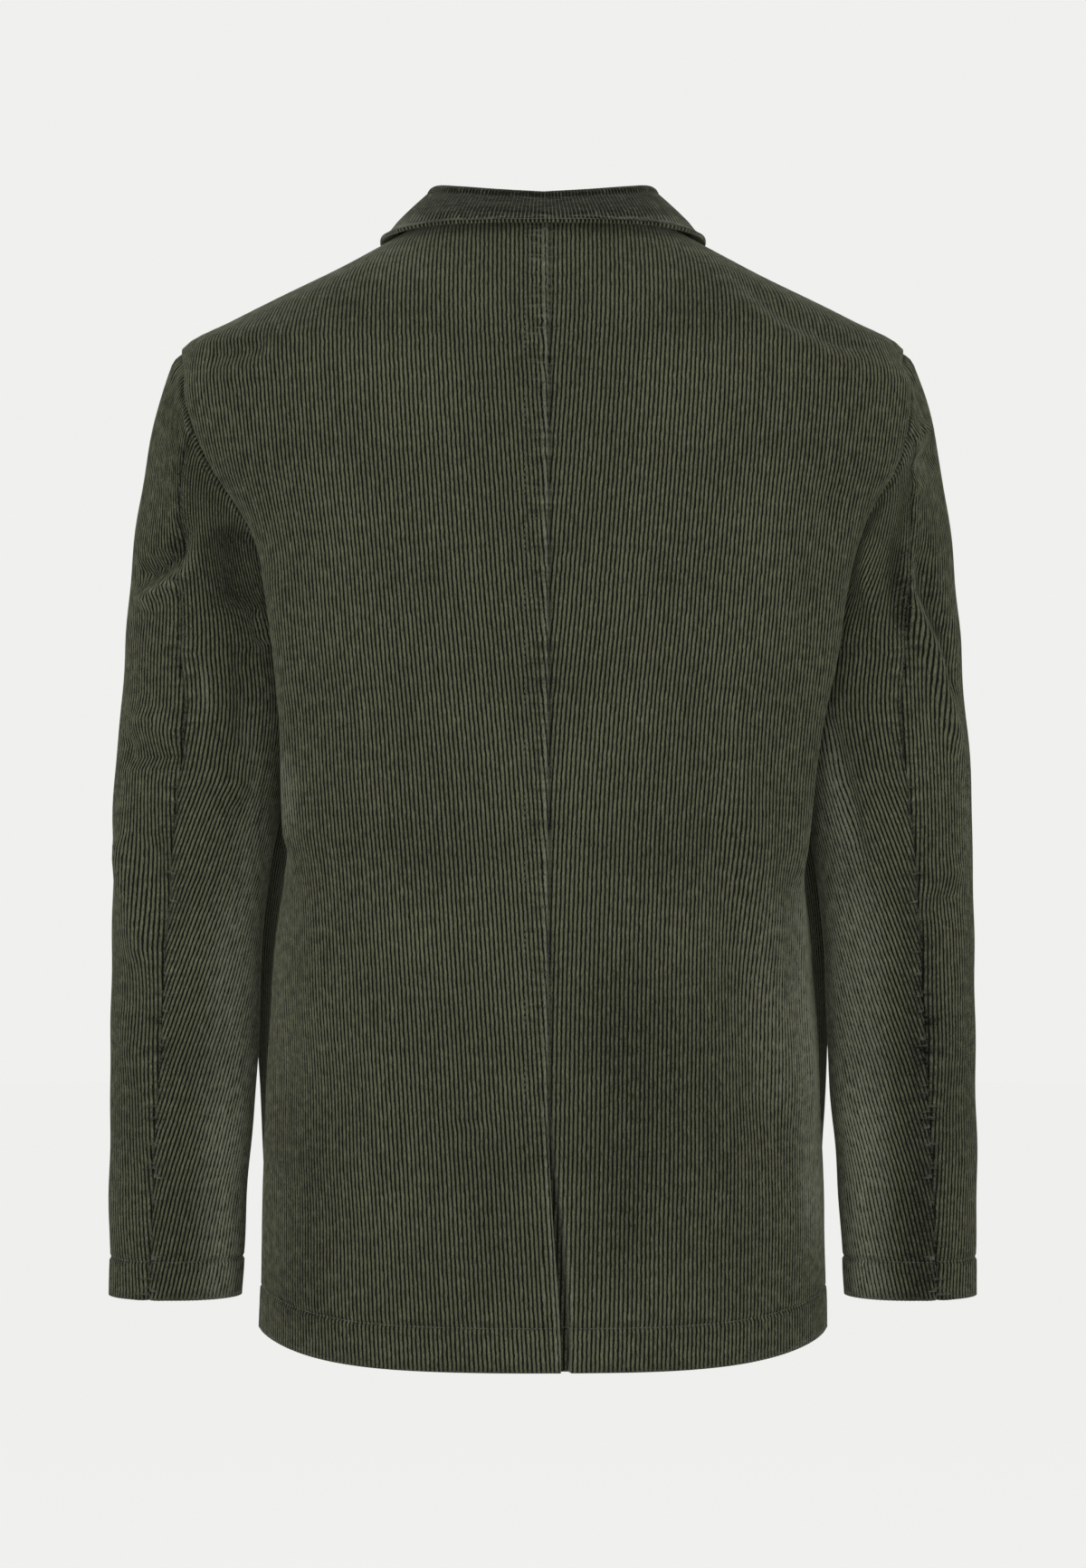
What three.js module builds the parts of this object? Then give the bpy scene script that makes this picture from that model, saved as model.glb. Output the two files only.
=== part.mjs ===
// A soft single-breasted corduroy jacket, filled out as if worn, with nobody in it.
// Millimetres, +Z up. The front faces -Y and the wearer's left is +X.
// The origin lies between the shoulders, level with the ends of the collar.
import { BufferGeometry, CylinderGeometry, Float32BufferAttribute, Group, MathUtils, Mesh } from 'three';
import { MeshStandardMaterial, Quaternion, Vector3 } from 'three';

const { clamp, degToRad, lerp, radToDeg, smoothstep } = MathUtils;

// Driving dimensions
const CLOTH = 2.2; // corduroy with its turned edges
const SEAM_GAP = 0.4; // left between two pieces that are sewn together
const LAP_GAP = 0.9; // left between two pieces that lie on each other
const NECK_TOP = 12; // height of the neck seam at the back
const SHOULDER_TIP = -66;
const UNDERARM = -215;
const ARMHOLE_MIDDLE = (SHOULDER_TIP + UNDERARM) / 2;
const ARMHOLE_HALF = (SHOULDER_TIP - UNDERARM) / 2; // half its height
const HEM = -703;
const HEM_RISE = 13; // how much higher the hem is at the side seams
const HEM_RISE_FROM = -560;
const SIDE_SEAM_Y = 4;
const SIDE_SEAM_RUN = 0.02; // how far the side seam runs back for each millimetre down
const ARMHOLE_BACK = 54; // how far the armhole reaches behind the side seam
const ARMHOLE_FRONT = 56;
const CENTRE_SEAM_X = -4;
const SECTION_POWER = 2.4; // 2 would be an ellipse, more is squarer
const ARM_ROOM = 52; // half the breadth of the flat that the arm leaves in the side

// Rows and columns of the panels
const PANEL_ROWS = 14; // from the hem up to the underarm
const ARMHOLE_STEP = 15; // degrees between the rows beside the armhole
const SHOULDER_ROWS = 6;
const LEFT_BACK_COLUMNS = 15;
const RIGHT_BACK_COLUMNS = 13; // besides the two that form the edge of the vent
const FRONT_COLUMNS = 12;

// Body sections, from the neck to the hem.
// back and front are depths at the centre, left and right the widest half-widths of the back,
// chest the widest half-width of the front, side the half-width under the arm.
const BODY = [
  { z: 12, back: 65, front: 36, left: 82, right: 82, chest: 82, side: 82 },
  { z: 0, back: 74, front: 46, left: 102, right: 102, chest: 102, side: 102 },
  { z: -15, back: 84, front: 57, left: 131, right: 131, chest: 131, side: 131 },
  { z: -34, back: 94, front: 71, left: 170, right: 170, chest: 170, side: 170 },
  { z: -50, back: 102, front: 80, left: 201, right: 201, chest: 201, side: 201 },
  { z: -66, back: 108, front: 88, left: 231, right: 230, chest: 230, side: 230 },
  { z: -90, back: 115, front: 98, left: 230, right: 232, chest: 224, side: 226 },
  { z: -120, back: 122, front: 109, left: 221, right: 229, chest: 212, side: 216 },
  { z: -145, back: 126, front: 118, left: 208, right: 221, chest: 204, side: 200 },
  { z: -168, back: 129, front: 124, left: 192, right: 207, chest: 194, side: 183 },
  { z: -190, back: 130, front: 128, left: 181, right: 198, chest: 186, side: 169 },
  { z: -215, back: 130, front: 131, left: 175, right: 192, chest: 178, side: 163 },
  { z: -262, back: 127, front: 132, left: 169, right: 185, chest: 170, side: 156 },
  { z: -300, back: 123, front: 130, left: 165, right: 177, chest: 167, side: 152 },
  { z: -350, back: 118, front: 125, left: 165, right: 170, chest: 176, side: 157 },
  { z: -394, back: 116, front: 121, left: 166, right: 167, chest: 184, side: 164 },
  { z: -447, back: 118, front: 122, left: 171, right: 170, chest: 188, side: 171 },
  { z: -521, back: 123, front: 127, left: 175, right: 175, chest: 187, side: 176 },
  { z: -600, back: 128, front: 131, left: 178, right: 179, chest: 183, side: 179 },
  { z: -703, back: 133, front: 134, left: 181, right: 181, chest: 182, side: 181 },
];

// Sleeve sections below the armhole. outer and inner are distances from the jacket's middle,
// middle and radius give the depth, and seam is the turn of the back seam from the back, in degrees.
const SLEEVE = [
  { z: -262, outer: 268, inner: 165, middle: 3, radius: 53, seam: 13 },
  { z: -300, outer: 271, inner: 162, middle: 3, radius: 52, seam: 9 },
  { z: -350, outer: 275, inner: 167, middle: 3, radius: 50, seam: 10 },
  { z: -394, outer: 276, inner: 175, middle: 1, radius: 48, seam: 11 },
  { z: -447, outer: 277.5, inner: 181, middle: -5, radius: 46, seam: 12 },
  { z: -521, outer: 279.5, inner: 184.5, middle: -14, radius: 45, seam: 14 },
  { z: -600, outer: 281, inner: 191.5, middle: -24, radius: 41, seam: 17 },
  { z: -676, outer: 281.5, inner: 197, middle: -32, radius: 35, seam: 20 },
];

// Collar sections, from the centre back (0) round one shoulder to the front end (1).
// seam is where it is sewn to the neck, fold its top edge and edge the lower edge of the fall.
const COLLAR = [
  { at: 0, seam: [0, 63, 13], fold: [0, 53, 27], edge: [0, 78, 5] },
  { at: 0.2, seam: [33, 61, 13], fold: [28, 50, 29], edge: [36, 76, 5] },
  { at: 0.4, seam: [62, 46, 13], fold: [55, 36, 33], edge: [69, 64, 5] },
  { at: 0.55, seam: [76, 24, 13], fold: [67, 17, 36], edge: [93, 37, 4] },
  { at: 0.7, seam: [79.5, 0, 13], fold: [69.5, -3, 35], edge: [103, -4, 4] },
  { at: 0.85, seam: [76, -14, 13.2], fold: [70, -21, 27], edge: [102, -36, -5] },
  { at: 1, seam: [72, -24, 13.4], fold: [70, -35, 18], edge: [97, -62, -19] },
];
const COLLAR_STEPS = 15; // on each side
const FOLD_ROUND = 3.4; // half the thickness of the collar at its fold

// The folds that show from a step away, as soft ridges (plus) and troughs (minus) on the back.
const FOLDS = [
  { on: 'back_right', fromX: -122, fromZ: -330, toX: -163, toZ: -580, width: 15, height: 4 },
  { on: 'back_right', fromX: -100, fromZ: -330, toX: -140, toZ: -585, width: 14, height: -3 },
  { on: 'back_right', fromX: -128, fromZ: -28, toX: -215, toZ: -78, width: 12, height: -3 },
  { on: 'back_left', fromX: 222, fromZ: -80, toX: 150, toZ: -62, width: 12, height: -3 },
  { on: 'back_left', fromX: 48, fromZ: -562, toX: 4, toZ: -541, width: 12, height: -3 },
  { on: 'sleeve_left', fromX: 221, fromZ: -175, toX: 262, toZ: -232, width: 13, height: 4 },
  { on: 'sleeve_left', fromX: 214, fromZ: -214, toX: 258, toZ: -262, width: 11, height: -4 },
  { on: 'sleeve_left', fromX: 274, fromZ: -372, toX: 250, toZ: -462, width: 12, height: 4 },
  { on: 'sleeve_right', fromX: -244, fromZ: -120, toX: -230, toZ: -136, width: 12, height: 4 },
  { on: 'sleeve_right', fromX: -231, fromZ: -142, toX: -208, toZ: -242, width: 12, height: -5 },
  { on: 'sleeve_right', fromX: -232, fromZ: -200, toX: -268, toZ: -330, width: 13, height: 4 },
];
const FOLD_TAPER = 0.2; // part of a fold's length over which each end fades
const FOLD_DEPTH_FADE = 25; // depth over which a fold fades towards the side

// Fronts
const LAP = 18; // each front runs past the middle by this much below the break
const BREAK = -330; // height of the upper button, where the lapel starts to turn back
const ROLL_TOP = 72; // half-width of the lapel's roll line beside the neck
const LAPEL_WIDTH = 70;
const LAPEL_TOP = 4;
const LAPEL_START_X = 2; // where its lower tip meets the middle
const GORGE_DROP = 44; // how far the lapel's top edge falls to its point
const LAPEL_LIFT = CLOTH + LAP_GAP;
const LAPEL_SPRING = 3; // how much more its outer edge stands off the chest
const LAPEL_TIP = 3; // its width at the lower tip
const LAPEL_ROUNDING = 1.1; // how slowly it widens from there
const LAPEL_ROWS = 12;
const LAPEL_COLUMNS = 6;
const UNDERLAP_FROM = -46; // between these two the right front dips under the left one
const UNDERLAP_TO = -24;
const HEM_CORNER = 45; // radius of the rounded lower corner of each front

// Vent
const VENT_TOP = -561;
const VENT_RUN = 26; // height over which the underlap reaches its full width
const VENT_LEAD = 12; // how far above the vent the underlap starts to lie in
const VENT_LAP = 24;
const VENT_DEPTH = 7; // how far the underlap lies in
const VENT_FOLD_X = -16;
const VENT_STEP_X = [-8, -6]; // where the underlap is fully in, above the vent and within it
const LEFT_VENT_EDGE = -11;
const VENT_SPREAD = 140; // height over which the left edge moves over to it

// Buttons
const BUTTON_RADIUS = 11;
const BUTTON_THICKNESS = 4;
const BUTTON_STAND = 0.6; // its distance from the cloth
const BUTTON_FACETS = 20;
const BUTTON_HEIGHTS = { button_upper: -340, button_lower: -450 };

// A value on the smooth curve from start to end that sets off and comes in at the slopes given.
function hermite(start, leave, end, arrive, t) {
  return (2 * t ** 3 - 3 * t ** 2 + 1) * start
    + (t ** 3 - 2 * t ** 2 + t) * leave
    + (3 * t ** 2 - 2 * t ** 3) * end
    + (t ** 3 - t ** 2) * arrive;
}

// A row of a table between its written rows, on a smooth curve through them.
function rowAt(table, z) {
  const last = table.length - 1;
  let k = 0;
  while (k < last - 1 && z < table[k + 1].z) k += 1;
  const [a, b] = [table[k], table[k + 1]];
  const before = table[Math.max(k - 1, 0)];
  const after = table[Math.min(k + 2, last)];
  const span = b.z - a.z;
  const t = clamp((z - a.z) / span, 0, 1);
  const row = {};
  for (const column of Object.keys(a)) {
    const slopeA = (b[column] - before[column]) / (b.z - before.z);
    const slopeB = (after[column] - a[column]) / (after.z - a.z);
    row[column] = hermite(a[column], span * slopeA, b[column], span * slopeB, t);
  }
  return row;
}

const signedPower = (value, power) => Math.sign(value) * Math.abs(value) ** power;

// One half of the body's section at a height: side is 1 for the left half and -1 for the right.
const sections = new Map();
function bodySection(side, z) {
  const key = `${side} ${z}`;
  if (!sections.has(key)) sections.set(key, makeSection(side, z));
  return sections.get(key);
}

function makeSection(side, z) {
  const level = rowAt(BODY, z);
  const halfWidth = (reach, depth, angle) => {
    const y = depth * Math.abs(Math.sin(angle)) ** (2 / SECTION_POWER);
    const dent = (reach - level.side) * Math.exp(-((y / ARM_ROOM) ** 4));
    return reach * signedPower(Math.cos(angle), 2 / SECTION_POWER) - dent;
  };
  const reachFor = (widest, depth) => {
    let reach = widest;
    for (let pass = 0; pass < 5; pass += 1) {
      let most = 0;
      for (let turn = 0; turn <= 90; turn += 3) {
        most = Math.max(most, halfWidth(reach, depth, degToRad(turn)));
      }
      reach += widest - most;
    }
    return reach;
  };
  const backReach = reachFor(side > 0 ? level.left : level.right, level.back);
  const frontReach = reachFor(level.chest, level.front);
  const depthOf = (angle) => (angle < 0 ? level.front : level.back);
  const reachOf = (angle) => (angle < 0 ? frontReach : backReach);
  return {
    // angle 0 is the side, a quarter turn up is the centre back and down the centre front
    pointAt(angle) {
      const y = depthOf(angle) * signedPower(Math.sin(angle), 2 / SECTION_POWER);
      return new Vector3(side * halfWidth(reachOf(angle), depthOf(angle), angle), y, z);
    },
    angleAtY(y) {
      const depth = y < 0 ? level.front : level.back;
      return Math.asin(signedPower(y / depth, SECTION_POWER / 2));
    },
    // x counts from the middle towards this side
    angleAtX(x, face) {
      const reach = face < 0 ? frontReach : backReach;
      return face * Math.acos(signedPower(clamp(x / reach, -1, 1), SECTION_POWER / 2));
    },
  };
}

// Depth of the line where the panels end at a height: face is 1 for the back and -1 for the front.
function seamY(z, face) {
  if (z <= UNDERARM) return SIDE_SEAM_Y + SIDE_SEAM_RUN * (UNDERARM - z);
  if (z >= SHOULDER_TIP) return SIDE_SEAM_Y;
  const part = (z - ARMHOLE_MIDDLE) / ARMHOLE_HALF;
  const reach = face > 0 ? ARMHOLE_BACK : -ARMHOLE_FRONT;
  return SIDE_SEAM_Y + reach * Math.sqrt(Math.max(0, 1 - part * part));
}

// A point of the body and the direction that faces out of the cloth there.
function bodyPoint(side, z, angle) {
  const section = bodySection(side, z);
  const along = section.pointAt(angle + 0.01).sub(section.pointAt(angle - 0.01));
  const above = bodySection(side, Math.min(z + 1, NECK_TOP)).pointAt(angle);
  const up = above.sub(bodySection(side, Math.max(z - 1, HEM)).pointAt(angle));
  return { point: section.pointAt(angle), out: along.cross(up).normalize().multiplyScalar(side) };
}

// A point of the armhole: 90 degrees is the shoulder tip, 0 the back, -90 the underarm.
function armholePoint(side, degrees) {
  const angle = degToRad(degrees);
  const z = ARMHOLE_MIDDLE + ARMHOLE_HALF * Math.sin(angle);
  const reach = Math.cos(angle) > 0 ? ARMHOLE_BACK : ARMHOLE_FRONT;
  const section = bodySection(side, z);
  return section.pointAt(section.angleAtY(SIDE_SEAM_Y + reach * Math.cos(angle)));
}

// Heights near the hem, which rises towards the side seams.
function hemHeight(z, angle) {
  return z + HEM_RISE * Math.cos(angle) ** 4 * smoothstep(HEM_RISE_FROM - z, 0, HEM_RISE_FROM - HEM);
}

// One row of a body panel, evenly spaced from a distance x beside the middle round to the seam.
function bodyRow(side, face, z, fromX, count) {
  const section = bodySection(side, z);
  const start = section.angleAtX(fromX, face);
  const end = section.angleAtY(seamY(z, face) + (face * SEAM_GAP) / 2);
  const steps = 60;
  const lengths = [0];
  for (let k = 1; k <= steps; k += 1) {
    const here = section.pointAt(lerp(start, end, k / steps));
    const before = section.pointAt(lerp(start, end, (k - 1) / steps));
    lengths.push(lengths[k - 1] + here.distanceTo(before));
  }
  const row = [];
  let k = 1;
  for (let n = 0; n < count; n += 1) {
    const wanted = (lengths[steps] * n) / (count - 1);
    while (k < steps && lengths[k] < wanted) k += 1;
    const t = k - 1 + (wanted - lengths[k - 1]) / (lengths[k] - lengths[k - 1]);
    const angle = lerp(start, end, t / steps);
    row.push(bodyPoint(side, hemHeight(z, angle), angle));
  }
  return row;
}

// Heights of the rows of a panel: plain steps to the underarm, turns of the armhole, then the shoulder.
function panelHeights() {
  const heights = [];
  for (let k = 0; k < PANEL_ROWS; k += 1) heights.push(lerp(HEM, UNDERARM, k / PANEL_ROWS));
  for (let turn = -90; turn <= 90; turn += ARMHOLE_STEP) {
    heights.push(ARMHOLE_MIDDLE + ARMHOLE_HALF * Math.sin(degToRad(turn)));
  }
  for (let k = 1; k <= SHOULDER_ROWS; k += 1) {
    heights.push(lerp(SHOULDER_TIP, NECK_TOP, k / SHOULDER_ROWS));
  }
  return heights;
}

// A grid whose points are moved out of the cloth by the distance that distanceAt gives.
function moved(grid, distanceAt) {
  return grid.map((row, j) => row.map(({ point, out }, i) => (
    { point: point.clone().addScaledVector(out, distanceAt(point, j, i)), out })));
}

// How far the named piece's folds move a point out. behind is the depth where they have faded.
function foldHeight(name, point, behind) {
  if (point.y < behind) return 0;
  let height = 0;
  for (const fold of FOLDS.filter((each) => each.on === name)) {
    const dx = fold.toX - fold.fromX;
    const dz = fold.toZ - fold.fromZ;
    const t = ((point.x - fold.fromX) * dx + (point.z - fold.fromZ) * dz) / (dx * dx + dz * dz);
    const nearest = clamp(t, 0, 1);
    const away = Math.hypot(point.x - fold.fromX - nearest * dx, point.z - fold.fromZ - nearest * dz);
    const ends = smoothstep(nearest, 0, FOLD_TAPER) * (1 - smoothstep(nearest, 1 - FOLD_TAPER, 1));
    const fade = lerp(0.2, 1, ends);
    height += fold.height * fade * Math.exp(-((away / fold.width) ** 2));
  }
  return height * smoothstep(point.y, behind, behind + FOLD_DEPTH_FADE);
}

// A closed wall of cloth under a grid of outer points. facing is 1 where going along a row and
// then to the next row turns about the outward direction like a right-handed screw.
function wallGeometry(grid, facing) {
  const inner = moved(grid, () => -CLOTH);
  const rows = grid.length;
  const columns = grid[0].length;
  const positions = [...grid.flat(), ...inner.flat()].flatMap(({ point }) => point.toArray());
  const outerAt = (j, i) => j * columns + i;
  const innerAt = (j, i) => rows * columns + j * columns + i;
  const faces = [];
  const quad = (a, b, c, d) => {
    const [second, fourth] = facing > 0 ? [b, d] : [d, b];
    faces.push(a, second, c, a, c, fourth);
  };
  for (let j = 0; j < rows - 1; j += 1) {
    for (let i = 0; i < columns - 1; i += 1) {
      quad(outerAt(j, i), outerAt(j, i + 1), outerAt(j + 1, i + 1), outerAt(j + 1, i));
      quad(innerAt(j, i), innerAt(j + 1, i), innerAt(j + 1, i + 1), innerAt(j, i + 1));
    }
  }
  const [top, end] = [rows - 1, columns - 1];
  for (let i = 0; i < end; i += 1) {
    quad(outerAt(0, i), innerAt(0, i), innerAt(0, i + 1), outerAt(0, i + 1));
    quad(outerAt(top, i), outerAt(top, i + 1), innerAt(top, i + 1), innerAt(top, i));
  }
  for (let j = 0; j < top; j += 1) {
    quad(outerAt(j, 0), outerAt(j + 1, 0), innerAt(j + 1, 0), innerAt(j, 0));
    quad(outerAt(j, end), innerAt(j, end), innerAt(j + 1, end), outerAt(j + 1, end));
  }
  const geometry = new BufferGeometry();
  geometry.setAttribute('position', new Float32BufferAttribute(positions, 3));
  geometry.setIndex(faces);
  geometry.computeVertexNormals();
  return geometry;
}

const corduroy = () => new MeshStandardMaterial({ color: 0x4a5042, roughness: 0.95, metalness: 0 });
const horn = () => new MeshStandardMaterial({ color: 0x2b2620, roughness: 0.45, metalness: 0 });

const jacket = new Group();

function addPiece(name, geometry, material = corduroy()) {
  const mesh = new Mesh(geometry, material);
  mesh.name = name;
  jacket.add(mesh);
  return mesh;
}

// Back panels. The left one laps over the right one in the vent.
const BACK_FOLD_DEPTH = 20;

function backLeft() {
  const edge = (z) => {
    const over = smoothstep(VENT_TOP - z, 0, VENT_SPREAD);
    return lerp(CENTRE_SEAM_X + SEAM_GAP / 2, LEFT_VENT_EDGE, over);
  };
  const grid = panelHeights().map((z) => bodyRow(1, 1, z, edge(z), LEFT_BACK_COLUMNS));
  return moved(grid, (p) => foldHeight('back_left', p, BACK_FOLD_DEPTH));
}

function backRight() {
  const grid = panelHeights().map((z) => {
    const section = bodySection(-1, z);
    const lap = smoothstep(VENT_TOP - z, 0, VENT_RUN);
    const leadXs = [lerp(CENTRE_SEAM_X - SEAM_GAP / 2, VENT_LAP, lap), lerp(...VENT_STEP_X, lap)];
    const lead = leadXs.map((x) => bodyPoint(-1, z, section.angleAtX(-x, 1)));
    return [...lead, ...bodyRow(-1, 1, z, -VENT_FOLD_X, RIGHT_BACK_COLUMNS)];
  });
  return moved(grid, (p, j, i) => {
    const sunk = i < 2 ? VENT_DEPTH * smoothstep(VENT_TOP + VENT_LEAD - p.z, 0, VENT_RUN) : 0;
    return foldHeight('back_right', p, BACK_FOLD_DEPTH) - sunk;
  });
}

// Fronts. Above the break each ends at the lapel's roll line, below it past the middle.
function frontEdgeX(z) {
  const roll = lerp(-LAP, ROLL_TOP, clamp((z - BREAK) / (LAPEL_TOP - BREAK), 0, 1));
  const belowCorner = clamp((HEM + HEM_CORNER - z) / HEM_CORNER, 0, 1);
  const corner = HEM_CORNER * (1 - Math.sqrt(1 - belowCorner * belowCorner));
  return roll + corner;
}

function frontPanel(side) {
  const grid = panelHeights().map((z) => bodyRow(side, -1, z, frontEdgeX(z), FRONT_COLUMNS));
  if (side > 0) return grid;
  return moved(grid, (p) => -(CLOTH + LAP_GAP) * smoothstep(p.x, UNDERLAP_FROM, UNDERLAP_TO));
}

// Lapel: the turned-back top of a front, lying on the chest from the roll line out.
function lapel(side) {
  const lowest = BREAK + ((LAPEL_TOP - BREAK) * (LAPEL_START_X + LAP)) / (ROLL_TOP + LAP);
  const grid = [];
  for (let j = 0; j < LAPEL_ROWS; j += 1) {
    const t = j / (LAPEL_ROWS - 1);
    const rollZ = lerp(lowest, LAPEL_TOP, t);
    const width = LAPEL_WIDTH * Math.sin((t * Math.PI) / 2) ** LAPEL_ROUNDING + LAPEL_TIP;
    const row = [];
    for (let i = 0; i < LAPEL_COLUMNS; i += 1) {
      const across = i / (LAPEL_COLUMNS - 1);
      const z = rollZ - GORGE_DROP * Math.sqrt(across) * t;
      const section = bodySection(side, z);
      const x = frontEdgeX(rollZ) + across * width;
      row.push(bodyPoint(side, z, section.angleAtX(x, -1)));
    }
    grid.push(row);
  }
  return moved(grid, (p, j, i) => LAPEL_LIFT + (LAPEL_SPRING * i) / (LAPEL_COLUMNS - 1));
}

// A point of one of the collar's lines: seam, fold or edge.
function collarPoint(line, side, at) {
  const table = COLLAR.map((station) => {
    const [x, depth, height] = station[line];
    return { z: -station.at, x, depth, height };
  });
  const row = rowAt(table, -at);
  return new Vector3(side * row.x, row.depth, row.height);
}

// Collar: one band from its seam at the neck up to the fold and down over the outside.
function collar() {
  const bands = [];
  for (let k = -COLLAR_STEPS; k <= COLLAR_STEPS; k += 1) {
    const side = k < 0 ? -1 : 1;
    const at = Math.abs(k) / COLLAR_STEPS;
    const [seam, fold, edge] = ['seam', 'fold', 'edge'].map((line) => collarPoint(line, side, at));
    const out = edge.clone().sub(fold).setZ(0).normalize();
    const inSide = fold.clone().addScaledVector(out, -FOLD_ROUND).setZ(fold.z - FOLD_ROUND);
    const outSide = fold.clone().addScaledVector(out, FOLD_ROUND).setZ(fold.z - FOLD_ROUND);
    const stand = seam.clone().lerp(inSide, 0.6);
    const fall = outSide.clone().lerp(edge, 0.5);
    bands.push([seam, stand, inSide, fold, outSide, fall, edge]);
  }
  const bandAt = (j, i) => bands[clamp(j, 0, bands.length - 1)][clamp(i, 0, bands[0].length - 1)];
  return bands.map((band, j) => band.map((point, i) => {
    const across = bandAt(j, i + 1).clone().sub(bandAt(j, i - 1));
    const round = bandAt(j + 1, i).clone().sub(bandAt(j - 1, i));
    return { point, out: across.cross(round).normalize() };
  }));
}

// Sleeves: rings from the armhole down to the cuff. Turn 90 is the outer side, 0 the back.
const CAP_ROWS = 8;
const TUBE_ROWS = 15;
const CAP_END = SLEEVE[0].z;
const CUFF = SLEEVE[SLEEVE.length - 1].z;
const TOP_COLUMNS = 14;
const UNDER_COLUMNS = 12;
const CAP_SEAM_TURN = 15; // where the back seam meets the armhole
const FRONT_SEAM_TURN = 210;
const SEAM_RADIUS = 50; // the sleeve's radius that turns the seam's gap into degrees
const CAP_FOLD_ROWS = 1; // rows beside the armhole that no fold reaches
const SLEEVE_FOLD_DEPTH = 5;
const CAP_OFFSET = [0.9, 0, -0.4]; // the sleeve's first ring from the armhole's edge
const CAP_LEAVE = [0.34, 0, -0.3]; // its direction there, as a part of the cap's length
const CAP_ARRIVE = [0.05, 0, -1]; // its direction where the cap ends

function ringPoint(side, z, degrees) {
  const level = rowAt(SLEEVE, z);
  const angle = degToRad(degrees);
  const centre = (level.outer + level.inner) / 2;
  const x = centre + ((level.outer - level.inner) / 2) * Math.sin(angle);
  return new Vector3(side * x, level.middle + level.radius * Math.cos(angle), z);
}

function sleevePoint(side, row, degrees) {
  if (row >= CAP_ROWS) {
    return ringPoint(side, lerp(CAP_END, CUFF, (row - CAP_ROWS) / (TUBE_ROWS - 1)), degrees);
  }
  const outward = new Vector3(side, 1, 1);
  const start = armholePoint(side, degrees).add(new Vector3(...CAP_OFFSET).multiply(outward));
  const end = ringPoint(side, CAP_END, degrees);
  const span = start.distanceTo(end);
  const leave = new Vector3(...CAP_LEAVE).multiply(outward).multiplyScalar(span);
  const arrive = new Vector3(...CAP_ARRIVE).multiply(outward).multiplyScalar(span);
  const along = (axis) => hermite(start[axis], leave[axis], end[axis], arrive[axis], row / CAP_ROWS);
  return new Vector3(along('x'), along('y'), along('z'));
}

function sleevePiece(side, which) {
  const top = which === 'top';
  const frontSeam = top ? FRONT_SEAM_TURN : FRONT_SEAM_TURN - 360;
  const columns = top ? TOP_COLUMNS : UNDER_COLUMNS;
  const gap = (top ? 1 : -1) * radToDeg(SEAM_GAP / 2 / SEAM_RADIUS);
  const grid = [];
  for (let row = 0; row < CAP_ROWS + TUBE_ROWS; row += 1) {
    const drop = clamp(row / CAP_ROWS, 0, 1);
    const z = Math.min(sleevePoint(side, row, 0).z, CAP_END);
    const backSeam = lerp(CAP_SEAM_TURN, rowAt(SLEEVE, z).seam, drop);
    const ring = [];
    for (let i = 0; i < columns; i += 1) {
      const turn = lerp(backSeam + gap, frontSeam - gap, i / (columns - 1));
      const point = sleevePoint(side, row, turn);
      const along = sleevePoint(side, row, turn + 1).sub(sleevePoint(side, row, turn - 1));
      const down = sleevePoint(side, row + 0.05, turn).sub(point);
      ring.push({ point, out: along.cross(down).normalize().multiplyScalar(side) });
    }
    grid.push(ring);
  }
  const name = side > 0 ? 'sleeve_left' : 'sleeve_right';
  return moved(grid, (p, j) => (j > CAP_FOLD_ROWS ? foldHeight(name, p, SLEEVE_FOLD_DEPTH) : 0));
}

addPiece('back_left', wallGeometry(backLeft(), -1));
addPiece('back_right', wallGeometry(backRight(), 1));
for (const [name, side] of [['left', 1], ['right', -1]]) {
  addPiece(`front_${name}`, wallGeometry(frontPanel(side), side));
  addPiece(`lapel_${name}`, wallGeometry(lapel(side), side));
  addPiece(`top_sleeve_${name}`, wallGeometry(sleevePiece(side, 'top'), side));
  addPiece(`under_sleeve_${name}`, wallGeometry(sleevePiece(side, 'under'), -side));
}
addPiece('collar', wallGeometry(collar(), 1));

// Buttons on the left front, where it laps over the right one
for (const [name, z] of Object.entries(BUTTON_HEIGHTS)) {
  const above = bodySection(1, z + BUTTON_RADIUS);
  const below = bodySection(1, z - BUTTON_RADIUS);
  const top = above.pointAt(above.angleAtX(0, -1));
  const bottom = below.pointAt(below.angleAtX(0, -1));
  const outward = new Vector3(1, 0, 0).cross(top.clone().sub(bottom)).normalize();
  const lift = BUTTON_THICKNESS / 2 + BUTTON_STAND;
  const disc = new CylinderGeometry(BUTTON_RADIUS, BUTTON_RADIUS, BUTTON_THICKNESS, BUTTON_FACETS);
  const button = addPiece(name, disc, horn());
  button.quaternion.copy(new Quaternion().setFromUnitVectors(new Vector3(0, 1, 0), outward));
  button.position.copy(top.add(bottom).multiplyScalar(0.5).addScaledVector(outward, lift));
}

export default jacket;
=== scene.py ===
# %% [markdown]
# # A corduroy jacket, filled out with no wearer
# The real jacket is cut from wide-wale corduroy: two back panels with a vent, two fronts with
# lapels, two-piece sleeves and a folded collar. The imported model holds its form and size. This
# lesson lays real cloth over that form: every wale is in the mesh, and the seams, creases and
# stitches follow. Sizes are in millimetres, as a tailor measures, and MM turns them into metres.

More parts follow.
